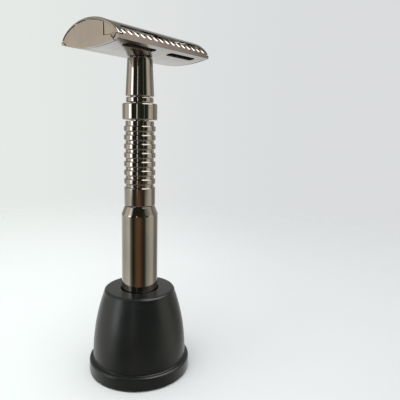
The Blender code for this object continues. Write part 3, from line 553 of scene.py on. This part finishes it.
def door_shell(name):
    """The rear door's roof: an outer and an inner skin over the same stations."""
    seam = DOOR_SEAM / 2
    across = 44
    points = []
    outer_rows = []
    inner_rows = []
    for x, rounding in door_stations():
        side = notch_side(x)
        turns = spaced(asin(seam / DOOR_SIDE), asin(side / DOOR_SIDE), across)
        ys = [DOOR_SIDE * sin(turn) for turn in turns]
        for rows, skin in ((outer_rows, "outer"), (inner_rows, "inner")):
            rows.append(list(range(len(points), len(points) + across + 1)))
            for index, y in enumerate(ys):
                depth = rounding if skin == "outer" else max(door_wall(y), rounding + 0.05 * MM)
                place, rise = door_curve(y, depth)
                if index == 0:
                    place = seam
                points.append((x, place, GUARD_BASE + rise))
    faces = []
    for rows in (outer_rows, inner_rows):
        for here, after in zip(rows, rows[1:]):
            faces += [(here[i], here[i + 1], after[i + 1], after[i]) for i in range(across)]
    for one, two in ((0, 0), (across, across)):
        for index in range(len(outer_rows) - 1):
            faces.append((outer_rows[index][one], outer_rows[index + 1][one],
                          inner_rows[index + 1][two], inner_rows[index][two]))
    for end in (0, -1):
        faces += [(outer_rows[end][i], outer_rows[end][i + 1],
                   inner_rows[end][i + 1], inner_rows[end][i]) for i in range(across)]
    return from_points(name, points, faces, GUNMETAL, 40)


def hinge_arc(radius, start, end, count=16):
    """Points about the hinge axis; 0 degrees points out of the head, 90 up."""
    return [(HINGE_SIDE + radius * cos(radians(turn)), HINGE_RISE + radius * sin(radians(turn)))
            for turn in spaced(start, end, count)]


def lobe_outline():
    """The door's end wall with the eye round its hinge pin."""
    depth = DOOR_WALL / 2
    arch = []
    for turn in spaced(asin(LOBE_EDGE / DOOR_SIDE), asin(0.985), 16):
        arch.append(door_curve(DOOR_SIDE * sin(turn), depth))
    arch[0] = (LOBE_EDGE, arch[0][1])
    meet = asin((LOBE_RISE - HINGE_RISE) / LUG_RADIUS) * 180 / pi
    eye = hinge_arc(LUG_RADIUS, meet, -180 - meet, 20)
    corner = [(DOOR_SIDE - depth * 0.6, DOOR_EDGE_RISE + 0.04 * MM),
              (HINGE_SIDE + LUG_RADIUS, LOBE_RISE - 0.01 * MM)]
    return arch + corner + eye[1:-1] + [(HINGE_SIDE - LUG_RADIUS, LOBE_RISE),
                                        (LOBE_EDGE + SLIT_FLARE, LOBE_RISE)]


def lug_outline():
    """The inner eye at the door's other end, reaching up into the shell."""
    shell = []
    for turn in spaced(asin((HINGE_SIDE - 0.9 * MM) / DOOR_SIDE), asin(0.985), 8):
        point = door_curve(DOOR_SIDE * sin(turn), DOOR_LIP_WALL / 2)
        if point[1] > HINGE_RISE + LUG_RADIUS:
            shell.append(point)
    return shell + hinge_arc(LUG_RADIUS, 0, -180, 16)


def make_door(name, node, body, front):
    shell = door_shell(name)
    lobe = prism("lobe", lobe_outline(), END_INNER, HALF_LENGTH, GUNMETAL)
    lug = prism("lug", lug_outline(), -BLADE_HIGH.x, -BLADE_HIGH.x + END_WALL, GUNMETAL)
    combine(shell, [lobe, lug], "UNION", 30)
    reach = HALF_LENGTH + MM
    hole = bar("pin_hole", PIN_HOLE, (-reach, HINGE_SIDE, GUARD_BASE + HINGE_RISE),
               (2 * reach, 0, 0), 24)
    combine(shell, [hole], "DIFFERENCE", 30)
    keep_ends_flat(shell.data)
    if front:
        half_turn(shell)
    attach(shell, body)
    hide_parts(node)


def comb_blank():
    """The plate and both guard bars before their flutes are cut."""
    inner = HALF_WIDTH - GUARD_TOP_WIDTH
    foot = HALF_WIDTH - GUARD_FOOT_SETBACK
    half = [(y, belly(y)) for y in spaced(0, foot, 24)]
    half += filleted([(foot, belly(foot), 0), (HALF_WIDTH, 0, GUARD_FOOT_ROUND),
                      (HALF_WIDTH, GUARD_STRAIGHT, 0)], closed=False)[1:]
    bend = GUARD_RISE - GUARD_STRAIGHT
    half += [(HALF_WIDTH - GUARD_LEAN * share ** 2, GUARD_STRAIGHT + bend * share)
             for share in spaced(0, 1, 6)[1:]]
    half.append((inner, GUARD_RISE))
    half += [(y, belly(y) + PLATE_WALL) for y in spaced(inner, 0, 16)]
    half = [tuple(point) for point in half]
    other = [(-y, rise) for y, rise in reversed(half[1:-1])]
    return prism("comb_plate", half + other, -HALF_LENGTH, HALF_LENGTH, SATIN_GUNMETAL, 28)


def input_socket(tree, name, kind, value=None):
    socket = tree.interface.new_socket(name, in_out="INPUT", socket_type=kind)
    if value is not None:
        socket.default_value = value
    return socket


def flute_tree():
    """Cuts a row of slanted round flutes into both guard bars of the plate."""
    tree = bpy.data.node_groups.new("guard_flutes", "GeometryNodeTree")
    tree.interface.new_socket("Geometry", in_out="OUTPUT", socket_type="NodeSocketGeometry")
    input_socket(tree, "Plate", "NodeSocketGeometry")
    input_socket(tree, "Flutes", "NodeSocketInt", FLUTE_COUNT)
    input_socket(tree, "Pitch", "NodeSocketFloat", FLUTE_PITCH)
    input_socket(tree, "Flute Radius", "NodeSocketFloat", FLUTE_RADIUS)
    input_socket(tree, "Lean", "NodeSocketFloat", FLUTE_LEAN)
    input_socket(tree, "Dive", "NodeSocketFloat", FLUTE_DIVE)
    input_socket(tree, "Material", "NodeSocketMaterial")
    nodes = Nodes(tree)
    given = tree.nodes.new("NodeGroupInput").outputs
    count = Value(tree, given["Flutes"])
    pitch = Value(tree, given["Pitch"])
    first = -1 * (count - 1) * pitch / 2
    start = nodes.add("ShaderNodeCombineXYZ", {}, X=first, Y=-HALF_WIDTH,
                      Z=GUARD_BASE + FLUTE_FOOT_RISE)
    step = nodes.add("ShaderNodeCombineXYZ", {}, X=pitch)
    row = nodes.add("GeometryNodeMeshLine", {}, Count=given["Flutes"],
                    Start_Location=start.outputs[0], Offset=step.outputs[0])
    cutter = nodes.add("GeometryNodeMeshCylinder", {}, Vertices=28, Radius=given["Flute Radius"],
                       Depth=FLUTE_REACH)
    raised = nodes.add("GeometryNodeTransform", {}, Geometry=cutter.outputs["Mesh"],
                       Translation=(0.0, -FLUTE_RADIUS, 0.0))
    dived = nodes.add("ShaderNodeCombineXYZ", {}, X=-1 * Value(tree, given["Dive"]))
    tipped = nodes.add("GeometryNodeTransform", {}, Geometry=raised.outputs[0],
                       Rotation=dived.outputs[0])
    leaned = nodes.add("ShaderNodeCombineXYZ", {}, Y=-1 * Value(tree, given["Lean"]))
    slanted = nodes.add("GeometryNodeTransform", {}, Geometry=tipped.outputs[0],
                        Rotation=leaned.outputs[0])
    placed = nodes.add("GeometryNodeInstanceOnPoints", {}, Points=row.outputs["Mesh"],
                       Instance=slanted.outputs[0])
    other = nodes.add("GeometryNodeTransform", {}, Geometry=placed.outputs[0],
                      Rotation=(0.0, 0.0, pi))
    both = tree.nodes.new("GeometryNodeJoinGeometry")
    tree.links.new(placed.outputs[0], both.inputs[0])
    tree.links.new(other.outputs[0], both.inputs[0])
    cut = nodes.add("GeometryNodeMeshBoolean", {"operation": "DIFFERENCE", "solver": "EXACT"},
                    n0=given["Plate"], n1=both.outputs[0])
    real = nodes.add("GeometryNodeRealizeInstances", {}, Geometry=cut.outputs[0])
    painted = nodes.add("GeometryNodeSetMaterial", {}, Geometry=real.outputs[0],
                        Material=given["Material"])
    out = tree.nodes.new("NodeGroupOutput")
    tree.links.new(painted.outputs[0], out.inputs[0])
    return tree


def grown(obj, tree, crease, **values):
    """Runs a geometry tree on the object and keeps the result as a plain mesh."""
    modifier = obj.modifiers.new(tree.name, "NODES")
    modifier.node_group = tree
    named = {item.name: item.identifier for item in tree.interface.items_tree
             if item.item_type == "SOCKET" and item.in_out == "INPUT"}
    for name, value in values.items():
        modifier[named[name.replace("_", " ")]] = value
    mesh = evaluated_mesh(obj, obj.name)
    obj.modifiers.clear()
    obj.data = mesh
    smooth(mesh, crease)
    return obj


def round_slot(name, x, y):
    """A long hole with round ends through the plate."""
    radius = DRAIN_WIDTH / 2
    shape = bmesh.new()
    low = GUARD_BASE - 2 * BELLY_DROP
    corners = []
    for end, start in ((1, -90), (-1, 90)):
        for turn in spaced(start, start + 180, 14):
            corners.append(shape.verts.new((
                x + end * (DRAIN_LENGTH / 2 - radius) + radius * cos(radians(turn)),
                y + radius * sin(radians(turn)), low)))
    face = shape.faces.new(corners)
    pushed = bmesh.ops.extrude_face_region(shape, geom=[face])
    moved = [item for item in pushed["geom"] if isinstance(item, bmesh.types.BMVert)]
    bmesh.ops.translate(shape, verts=moved, vec=(0, 0, 3 * BELLY_DROP + PLATE_WALL))
    return from_bmesh(name, shape, GUNMETAL)


def make_comb_plate():
    plate = comb_blank()
    grown(plate, flute_tree(), 28, Flutes=FLUTE_COUNT, Pitch=FLUTE_PITCH,
          Flute_Radius=FLUTE_RADIUS, Lean=FLUTE_LEAN, Dive=FLUTE_DIVE, Material=SATIN_GUNMETAL)
    side = HALF_WIDTH + MM
    beyond = HALF_LENGTH + MM
    high = GUARD_BASE + GUARD_RISE + MM
    deep = GUARD_LOW.z - MM
    reach = HINGE_SIDE + GAP
    turning = LUG_RADIUS + HINGE_ROOM
    root = LOBE_EDGE + ROOT_SETBACK
    outline = [(root, HINGE_RISE - turning)] + hinge_arc(turning, -90, 0, 12)
    outline += [(HINGE_SIDE + turning, GUARD_RISE + MM), (root, GUARD_RISE + MM)]
    mirrored = [(-y, rise) for y, rise in outline]
    start = BLADE_HIGH.x - END_WALL - GAP
    cuts = []
    for turned_round in (False, True):
        made = [box("end_step", (END_STEP_START, -side, GUARD_BASE + END_STEP_RISE),
                    (beyond, side, high)),
                box("end_room", (BLADE_HIGH.x, -reach, deep), (beyond, reach, high)),
                prism("hinge_room", outline, start, beyond, GUNMETAL),
                prism("lug_room", mirrored, start, beyond, GUNMETAL)]
        cuts += [half_turn(cut) for cut in made] if turned_round else made
    for x in (DRAIN_OFFSET, -DRAIN_OFFSET):
        for y in (HALF_WIDTH - DRAIN_FROM_SIDE, DRAIN_FROM_SIDE - HALF_WIDTH):
            cuts.append(round_slot("drain", x, y))
    cuts.append(bar("core_hole", CORE_HOLE, (0, 0, deep), (0, 0, high - deep), 48))
    combine(plate, cuts, "DIFFERENCE", 28)
    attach(plate, "handle")
    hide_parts("guard_plate")


# ---- handle ----

def rib_tree():
    """Repeats one rib along the sleeve and closes the sleeve with its plain foot and bore."""
    tree = bpy.data.node_groups.new("sleeve_ribs", "GeometryNodeTree")
    tree.interface.new_socket("Geometry", in_out="OUTPUT", socket_type="NodeSocketGeometry")
    input_socket(tree, "Sleeve", "NodeSocketGeometry")
    input_socket(tree, "Rib", "NodeSocketObject")
    input_socket(tree, "Ribs", "NodeSocketInt", GROOVE_COUNT - 1)
    input_socket(tree, "Pitch", "NodeSocketFloat", GROOVE_PITCH)
    input_socket(tree, "Material", "NodeSocketMaterial")
    nodes = Nodes(tree)
    given = tree.nodes.new("NodeGroupInput").outputs
    step = nodes.add("ShaderNodeCombineXYZ", {}, Z=Value(tree, given["Pitch"]))
    row = nodes.add("GeometryNodeMeshLine", {}, Count=given["Ribs"], Offset=step.outputs[0])
    rib = nodes.add("GeometryNodeObjectInfo", {}, Object=given["Rib"])
    placed = nodes.add("GeometryNodeInstanceOnPoints", {}, Points=row.outputs["Mesh"],
                       Instance=rib.outputs["Geometry"])
    real = nodes.add("GeometryNodeRealizeInstances", {}, Geometry=placed.outputs[0])
    whole = tree.nodes.new("GeometryNodeJoinGeometry")
    tree.links.new(given["Sleeve"], whole.inputs[0])
    tree.links.new(real.outputs[0], whole.inputs[0])
    welded = nodes.add("GeometryNodeMergeByDistance", {}, Geometry=whole.outputs[0],
                       Distance=0.002 * MM)
    painted = nodes.add("GeometryNodeSetMaterial", {}, Geometry=welded.outputs[0],
                        Material=given["Material"])
    out = tree.nodes.new("NodeGroupOutput")
    tree.links.new(painted.outputs[0], out.inputs[0])
    return tree


def open_turned(name, outline):
    """A turned skin that is open at both ends of its outline."""
    points = []
    faces = []
    for index, (radius, z) in enumerate(outline):
        for side in range(SIDES):
            angle = 2 * pi * side / SIDES
            points.append((radius * cos(angle), radius * sin(angle), z))
            after = (side + 1) % SIDES
            if index:
                low, high = (index - 1) * SIDES, index * SIDES
                faces.append((low + side, low + after, high + after, high + side))
    return from_points(name, points, faces, GUNMETAL)


def make_sleeve():
    """One rib runs from the middle of a groove to the middle of the next."""
    radius = SLEEVE_HIGH.x
    floor = radius - GROOVE_DEPTH
    half = GROOVE_WIDTH / 2
    last = SLEEVE_HIGH.z - FIRST_GROOVE_DROP - (GROOVE_COUNT - 1) * GROOVE_PITCH
    top = last + GROOVE_PITCH
    rib = open_turned("rib", filleted([
        (floor, last, 0), (floor, last + half, GROOVE_ROUND), (radius, last + half, RIB_ROUND),
        (radius, top - half, RIB_ROUND), (floor, top - half, GROOVE_ROUND), (floor, top, 0)],
        closed=False, steps=5))
    first_groove = SLEEVE_HIGH.z - FIRST_GROOVE_DROP
    sleeve = open_turned("ribbed_sleeve", filleted([
        (floor, first_groove, 0), (floor, SLEEVE_HIGH.z, SLEEVE_EDGE),
        (CORE_HOLE, SLEEVE_HIGH.z, SLEEVE_EDGE), (CORE_HOLE, SLEEVE_LOW.z, SLEEVE_EDGE),
        (radius, SLEEVE_LOW.z, SLEEVE_FOOT_ROUND), (radius, last - half, RIB_ROUND),
        (floor, last - half, GROOVE_ROUND), (floor, last, 0)], closed=False, steps=5))
    grown(sleeve, rib_tree(), 32, Rib=rib, Ribs=GROOVE_COUNT - 1, Pitch=GROOVE_PITCH,
          Material=GUNMETAL)
    bpy.data.objects.remove(rib)
    shape = bmesh.new()
    shape.from_mesh(sleeve.data)
    bmesh.ops.recalc_face_normals(shape, faces=shape.faces)
    shape.to_mesh(sleeve.data)
    shape.free()
    return sleeve


def make_handle():
    pieces = [(make_sleeve(), "handle", "grip_sleeve")]
    collar = filleted([(CORE_HOLE, COLLAR_LOW.z, FINE_EDGE), (COLLAR_HIGH.x, COLLAR_LOW.z, 0.5 * MM),
                       (COLLAR_HIGH.x, COLLAR_HIGH.z, 0.5 * MM),
                       (CORE_HOLE, COLLAR_HIGH.z, FINE_EDGE)])
    pieces.append((turned("collar_band", collar, GUNMETAL), "handle", "grip_collar"))
    band = filleted([(CORE_HOLE, RING_LOW.z, FINE_EDGE), (RING_HIGH.x, RING_LOW.z, 0.3 * MM),
                     (RING_HIGH.x, RING_HIGH.z, 0.3 * MM), (CORE_HOLE, RING_HIGH.z, FINE_EDGE)])
    pieces.append((turned("neck_band", band, GUNMETAL), "handle", "neck_ring"))
    neck = filleted([(CORE_HOLE, NECK_LOW.z, FINE_EDGE), (NECK_HIGH.x, NECK_LOW.z, 0.35 * MM),
                     (NECK_HIGH.x - NECK_TAPER, NECK_HIGH.z, 0.12 * MM),
                     (CORE_HOLE, NECK_HIGH.z, FINE_EDGE)])
    pieces.append((turned("neck_taper", neck, GUNMETAL), "handle", "neck_tube"))
    bore = KNOB_HIGH.x - KNOB_WALL
    knob = filleted([(bore, KNOB_LOW.z, 0.15 * MM), (KNOB_HIGH.x, KNOB_LOW.z, 0.15 * MM),
                     (KNOB_HIGH.x, KNOB_HIGH.z - CONE_HEIGHT, CONE_ROUND),
                     (KNOB_HIGH.x - CONE_DROP, KNOB_HIGH.z, 0.12 * MM),
                     (CORE_HOLE, KNOB_HIGH.z, FINE_EDGE),
                     (CORE_HOLE, KNOB_HIGH.z - KNOB_SHOULDER, FINE_EDGE),
                     (bore, KNOB_HIGH.z - KNOB_SHOULDER, FINE_EDGE)])
    pieces.append((turned("knob_barrel", knob, GUNMETAL), "knob", "twist_knob"))
    plug = bore - GAP
    rim = KNOB_LOW.z - GAP
    cap = filleted([(0, CAP_LOW.z, 0), (CAP_HIGH.x, CAP_LOW.z, 0.5 * MM),
                    (CAP_HIGH.x, rim, 0.12 * MM), (plug, rim, FINE_EDGE),
                    (plug, CAP_HIGH.z, 0.3 * MM), (0, CAP_HIGH.z, 0)], closed=False)
    pieces.append((turned("knob_cap", cap, GUNMETAL, closed=False), "knob", "knob_end_cap"))
    for piece, body, node in pieces:
        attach(piece, body)
        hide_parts(node)


# ---- stand ----

def bell_radius(z):
    """The bell's outer side, a curve that is steep at its foot."""
    share = (z - FLANGE_HEIGHT) / (STAND_HIGH.z - STAND_LIP - FLANGE_HEIGHT)
    return BELL_RADIUS - (BELL_RADIUS - STAND_TOP_RADIUS) * share ** BELL_STEEPNESS


def make_stand():
    base = STAND_LOW.z
    top = STAND_HIGH.z
    radius = STAND_HIGH.x
    socket = KNOB_HIGH.x + GAP
    socket_floor = CAP_LOW.z - GAP
    roof = socket_floor - SOCKET_WALL
    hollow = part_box("stand_base_cover")[1].x + GAP
    foot_inner = hollow + FOOT_RING_WALL
    foot_outer = FOOT_HIGH.x + GAP
    groove_top = base + FOOT_GROOVE
    outline = filleted([
        (0, roof, 0), (hollow, roof, 0.4 * MM), (hollow, base, FINE_EDGE),
        (foot_inner, base, FINE_EDGE), (foot_inner, groove_top, FINE_EDGE),
        (foot_outer, groove_top, FINE_EDGE), (foot_outer, base, 0.05 * MM),
        (radius, base, 0.25 * MM), (radius, FLANGE_HEIGHT, FLANGE_ROUND),
        (BELL_RADIUS, FLANGE_HEIGHT, 0.35 * MM),
        (bell_radius(BELL_FOOT), BELL_FOOT, 0)], closed=False)
    lip_foot = top - STAND_LIP
    outline += [Vector((bell_radius(z), z))
                for z in spaced(BELL_FOOT, lip_foot, 26)[1:]]
    for turn in spaced(0, pi / 2, 8)[1:]:
        outline.append(Vector((STAND_TOP_RADIUS - STAND_LIP + STAND_LIP * cos(turn),
                               lip_foot + STAND_LIP * sin(turn))))
    outline += filleted([
        (STAND_TOP_RADIUS - STAND_LIP - SUPPORT, top, 0), (socket, top, 0.35 * MM),
        (socket, socket_floor, 0.4 * MM), (0, socket_floor, 0)], closed=False)
    shell = turned("stand_shell", outline, STAND_BLACK, closed=False)
    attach(shell, "stand")
    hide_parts("stand_body")
    ring = filleted([(FOOT_HIGH.x - FOOT_WIDTH, FOOT_LOW.z, 0.25 * MM),
                     (FOOT_HIGH.x, FOOT_LOW.z, 0.25 * MM), (FOOT_HIGH.x, FOOT_HIGH.z, FINE_EDGE),
                     (FOOT_HIGH.x - FOOT_WIDTH, FOOT_HIGH.z, FINE_EDGE)])
    ring = turned("foot_ring", ring, RUBBER)
    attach(ring, "stand")
    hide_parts("stand_foot_ring")


# ---- pieces that keep their solid ----

KEPT = {
    GUNMETAL: ("end_plate_left", "end_plate_right", "rear_lobe_pin", "front_lobe_pin"),
    SATIN_GUNMETAL: ("blade_rest",),
    BLADE_STEEL: ("blade",),
    PLAIN_STEEL: ("core_tube", "knob_circlip", "lift_bar", "lift_rod", "cover_screw_1",
                  "cover_screw_2", "cover_screw_3", "rear_lug_pin", "front_lug_pin"),
    BRASS: ("knob_bush", "drive_nut", "knob_washer"),
    CAST_IRON: ("stand_weight",),
    COVER_BLACK: ("stand_base_cover",),
}


def paint_kept():
    for material, names in KEPT.items():
        for name in names:
            for place in NODES[name].material_slots:
                place.material = material


# ---- stage ----

def make_camera():
    data = bpy.data.cameras.new("camera")
    data.lens = CAMERA_LENS
    data.sensor_width = 36.0
    data.clip_start = 0.001
    camera = bpy.data.objects.new("camera", data)
    bpy.context.scene.collection.objects.link(camera)
    ahead = Vector((sin(CAMERA_TURN) * cos(CAMERA_DIP), cos(CAMERA_TURN) * cos(CAMERA_DIP),
                    -sin(CAMERA_DIP)))
    level = Vector((cos(CAMERA_TURN), -sin(CAMERA_TURN), 0))
    upright = level.cross(ahead)
    right = level * cos(CAMERA_ROLL) + upright * sin(CAMERA_ROLL)
    up = upright * cos(CAMERA_ROLL) - level * sin(CAMERA_ROLL)
    turn = Matrix((right, up, -ahead)).transposed()
    camera.matrix_world = Matrix.Translation(CAMERA_PLACE) @ turn.to_4x4()
    bpy.context.scene.camera = camera


def at(degrees_round):
    """The ramp's place for a direction, counted from the camera towards the right."""
    return (degrees_round + 180) / 360


# What the metal mirrors: rings of colours by direction, in degrees from the camera to the right
PALE = (0.80, 0.79, 0.74)
GREY = (0.50, 0.50, 0.45)
SHINE = (3.6, 3.7, 3.8)
ROOM_DARK = (0.032, 0.034, 0.022)
BROWN = (0.25, 0.135, 0.07)
HIGH_ROOM = [(-180, PALE), (-150, GREY), (-118, GREY), (-104, (1.15, 1.08, 0.95)),
             (-84, (1.1, 1.02, 0.88)), (-76, (0.98, 0.95, 0.85)), (-74, SHINE), (-60, SHINE),
             (-55, ROOM_DARK),
             (-22, ROOM_DARK), (-20.5, (1.5, 1.55, 1.5)), (-17, (1.5, 1.55, 1.5)),
             (-15.5, ROOM_DARK), (-8, (0.075, 0.065, 0.035)), (4, ROOM_DARK),
             (26, (0.022, 0.038, 0.028)), (27, (0.24, 0.3, 0.22)), (30, (0.24, 0.3, 0.22)),
             (31, ROOM_DARK), (52, (0.045, 0.06, 0.04)), (64, (1.0, 1.05, 0.88)),
             (82, (1.0, 0.95, 0.82)), (94, (0.80, 0.69, 0.62)), (102, (0.15, 0.14, 0.10)),
             (110, GREY), (150, GREY), (180, PALE)]
LOW_ROOM = [(-180, (0.95, 0.97, 0.96)), (-150, (1.0, 1.0, 0.98)), (-120, (0.76, 0.78, 0.74)),
            (-85, (1.0, 1.0, 0.86)), (-70, (1.1, 1.15, 1.0)), (-60, (0.32, 0.32, 0.27)),
            (-46, (0.05, 0.045, 0.035)), (-36, (0.05, 0.04, 0.025)), (-26, (0.16, 0.11, 0.06)),
            (-13, BROWN), (-2, BROWN), (8, (0.14, 0.08, 0.045)), (26, (0.05, 0.04, 0.03)),
            (33, (0.09, 0.09, 0.06)), (46, (0.5, 0.5, 0.42)), (70, (0.88, 0.85, 0.72)),
            (88, (1.0, 0.97, 0.83)), (98, (0.55, 0.54, 0.47)), (116, (0.32, 0.31, 0.28)),
            (135, (0.42, 0.42, 0.40)), (152, (0.75, 0.78, 0.77)), (180, (0.95, 0.97, 0.96))]
TABLE = [(-180, (1.05, 1.05, 1.03)), (-125, (1.0, 1.0, 0.97)), (-70, (0.35, 0.34, 0.31)),
         (60, (0.30, 0.29, 0.27)), (125, (0.9, 0.9, 0.88)), (180, (1.05, 1.05, 1.03))]
CEILING = [(-180, (0.30, 0.31, 0.29)), (-130, (0.45, 0.46, 0.43)), (-95, (0.95, 0.95, 0.88)),
           (-62, (0.95, 0.95, 0.88)), (-50, ROOM_DARK), (32, ROOM_DARK),
           (48, (0.35, 0.35, 0.31)), (80, (0.5, 0.5, 0.45)), (125, (0.4, 0.4, 0.37)),
           (150, (0.28, 0.29, 0.27)), (180, (0.30, 0.31, 0.29))]
SOFTBOX = (5.5, 5.4, 5.2)
SOFTBOX_START = (at(20), at(28))
SOFTBOX_END = (at(106), at(114))
SOFTBOX_FOOT = (0.54, 0.59)
TABLE_EDGE = (-0.50, -0.34)    # heights at which one ring passes into the next
HIGH_EDGE = (-0.17, -0.10)
CEILING_EDGE = (0.26, 0.50)
BACKDROP_LEFT = (0.80, 0.835, 0.805)
BACKDROP_RIGHT = (0.70, 0.715, 0.725)
BACKDROP_SPREAD = 0.42
FLOOR_RADIUS = 1.6
FLOOR_FADE = (0.06, 0.45)      # distances at which the floor starts and ends fading
FLOOR_SHADE_TURN = (-0.012, 0.020)   # where its lighter side passes into its painted shade


def make_world():
    """Pale backdrop, and the room that the plated metal mirrors."""
    world = bpy.data.worlds.new("room")
    world.use_nodes = True
    bpy.context.scene.world = world
    tree = world.node_tree
    tree.nodes.clear()
    nodes = Nodes(tree)
    direction = nodes.add("ShaderNodeTexCoord").outputs["Generated"]
    toward = Vector((CAMERA_PLACE.x, CAMERA_PLACE.y, 0)).normalized()
    rightward = Vector((-toward.y, toward.x, 0))

    def along(axis):
        node = nodes.add("ShaderNodeVectorMath", {"operation": "DOT_PRODUCT"},
                         n0=direction, n1=tuple(axis))
        return Value(tree, node.outputs["Value"])

    ahead = along(toward)
    aside = along(rightward)
    up = along((0, 0, 1))
    turn = ahead.math("ARCTAN2", aside, ahead) / (2 * pi) + 0.5

    def ring(room):
        stops = [(at(place), colour) for place, colour in room]
        return nodes.add("ShaderNodeValToRGB", {"stops": stops}, Fac=turn).outputs["Color"]

    sides = nodes.mix(up.step(*HIGH_EDGE), ring(LOW_ROOM), ring(HIGH_ROOM))
    lower = nodes.mix(up.step(*TABLE_EDGE), ring(TABLE), sides)
    room = nodes.mix(up.step(*CEILING_EDGE), lower, ring(CEILING))
    beside = turn.step(*SOFTBOX_START) * (1 - turn.step(*SOFTBOX_END))
    lit = nodes.mix(beside * up.step(*SOFTBOX_FOOT), room, SOFTBOX)
    backdrop = nodes.mix(aside.step(-BACKDROP_SPREAD, BACKDROP_SPREAD), BACKDROP_LEFT,
                         BACKDROP_RIGHT)
    path = nodes.add("ShaderNodeLightPath")
    seen = nodes.mix(Value(tree, path.outputs["Is Glossy Ray"]), backdrop, lit)
    back = nodes.add("ShaderNodeBackground", {}, Color=seen, Strength=1.0)
    out = tree.nodes.new("ShaderNodeOutputWorld")
    tree.links.new(back.outputs[0], out.inputs["Surface"])


def make_floor():
    """A pale floor that fades into the backdrop, with painted shade that darkens one side of it; the
    metal mirrors the room instead.
    """
    shape = bmesh.new()
    bmesh.ops.create_circle(shape, cap_ends=True, segments=64, radius=FLOOR_RADIUS)
    material, nodes, shader, place = new_material("pale_floor")
    grain = noise(nodes, stretched(nodes, place, (0.02, 0.02, 0.02)), 1.0)
    # painted shade: the floor's colour is lighter on one side and darker on the other, standing in
    # for how the light falls
    left = nodes.mix(grain, (0.90, 0.925, 0.92), (0.92, 0.945, 0.94))
    right = nodes.mix(grain, (0.75, 0.755, 0.77), (0.77, 0.775, 0.79))
    across = nodes.add("ShaderNodeVectorMath", {"operation": "DOT_PRODUCT"},
                       n0=place, n1=(-CAMERA_PLACE.y, CAMERA_PLACE.x, 0.0))
    colour = nodes.mix(Value(nodes.tree, across.outputs["Value"]).step(*FLOOR_SHADE_TURN), left, right)
    nodes.tree.links.new(colour, shader.inputs["Base Color"])
    shader.inputs["Roughness"].default_value = 0.8
    shader.inputs["Specular IOR Level"].default_value = 0.1
    far = nodes.add("ShaderNodeVectorMath", {"operation": "LENGTH"}, n0=place)
    fade = Value(nodes.tree, far.outputs["Value"]).step(*FLOOR_FADE)
    clear = nodes.add("ShaderNodeBsdfTransparent")
    both = nodes.add("ShaderNodeMixShader", {}, n0=fade, n1=shader.outputs[0], n2=clear.outputs[0])
    nodes.tree.links.new(both.outputs[0], nodes.tree.nodes["Material Output"].inputs["Surface"])
    floor = from_bmesh("floor", shape, material)
    floor.visible_glossy = False


def make_light(name, place, target, size, power):
    data = bpy.data.lights.new(name, "AREA")
    data.shape = "DISK"
    data.size = size
    data.energy = power
    light = bpy.data.objects.new(name, data)
    bpy.context.scene.collection.objects.link(light)
    light.location = place
    ahead = Vector(target) - Vector(place)
    light.rotation_euler = ahead.to_track_quat("-Z", "Y").to_euler()
    light.visible_glossy = False


def main():
    make_camera()
    make_world()
    make_floor()
    make_light("overhead", LAMP_PLACE, LAMP_AIM, LAMP_SIZE, LAMP_POWER)
    make_stand()
    make_handle()
    make_comb_plate()
    make_door("rear_roof", "rear_door", "rear_door", False)
    make_door("front_roof", "front_door", "front_door", True)
    paint_kept()
    bpy.context.scene.view_settings.view_transform = "Standard"


main()
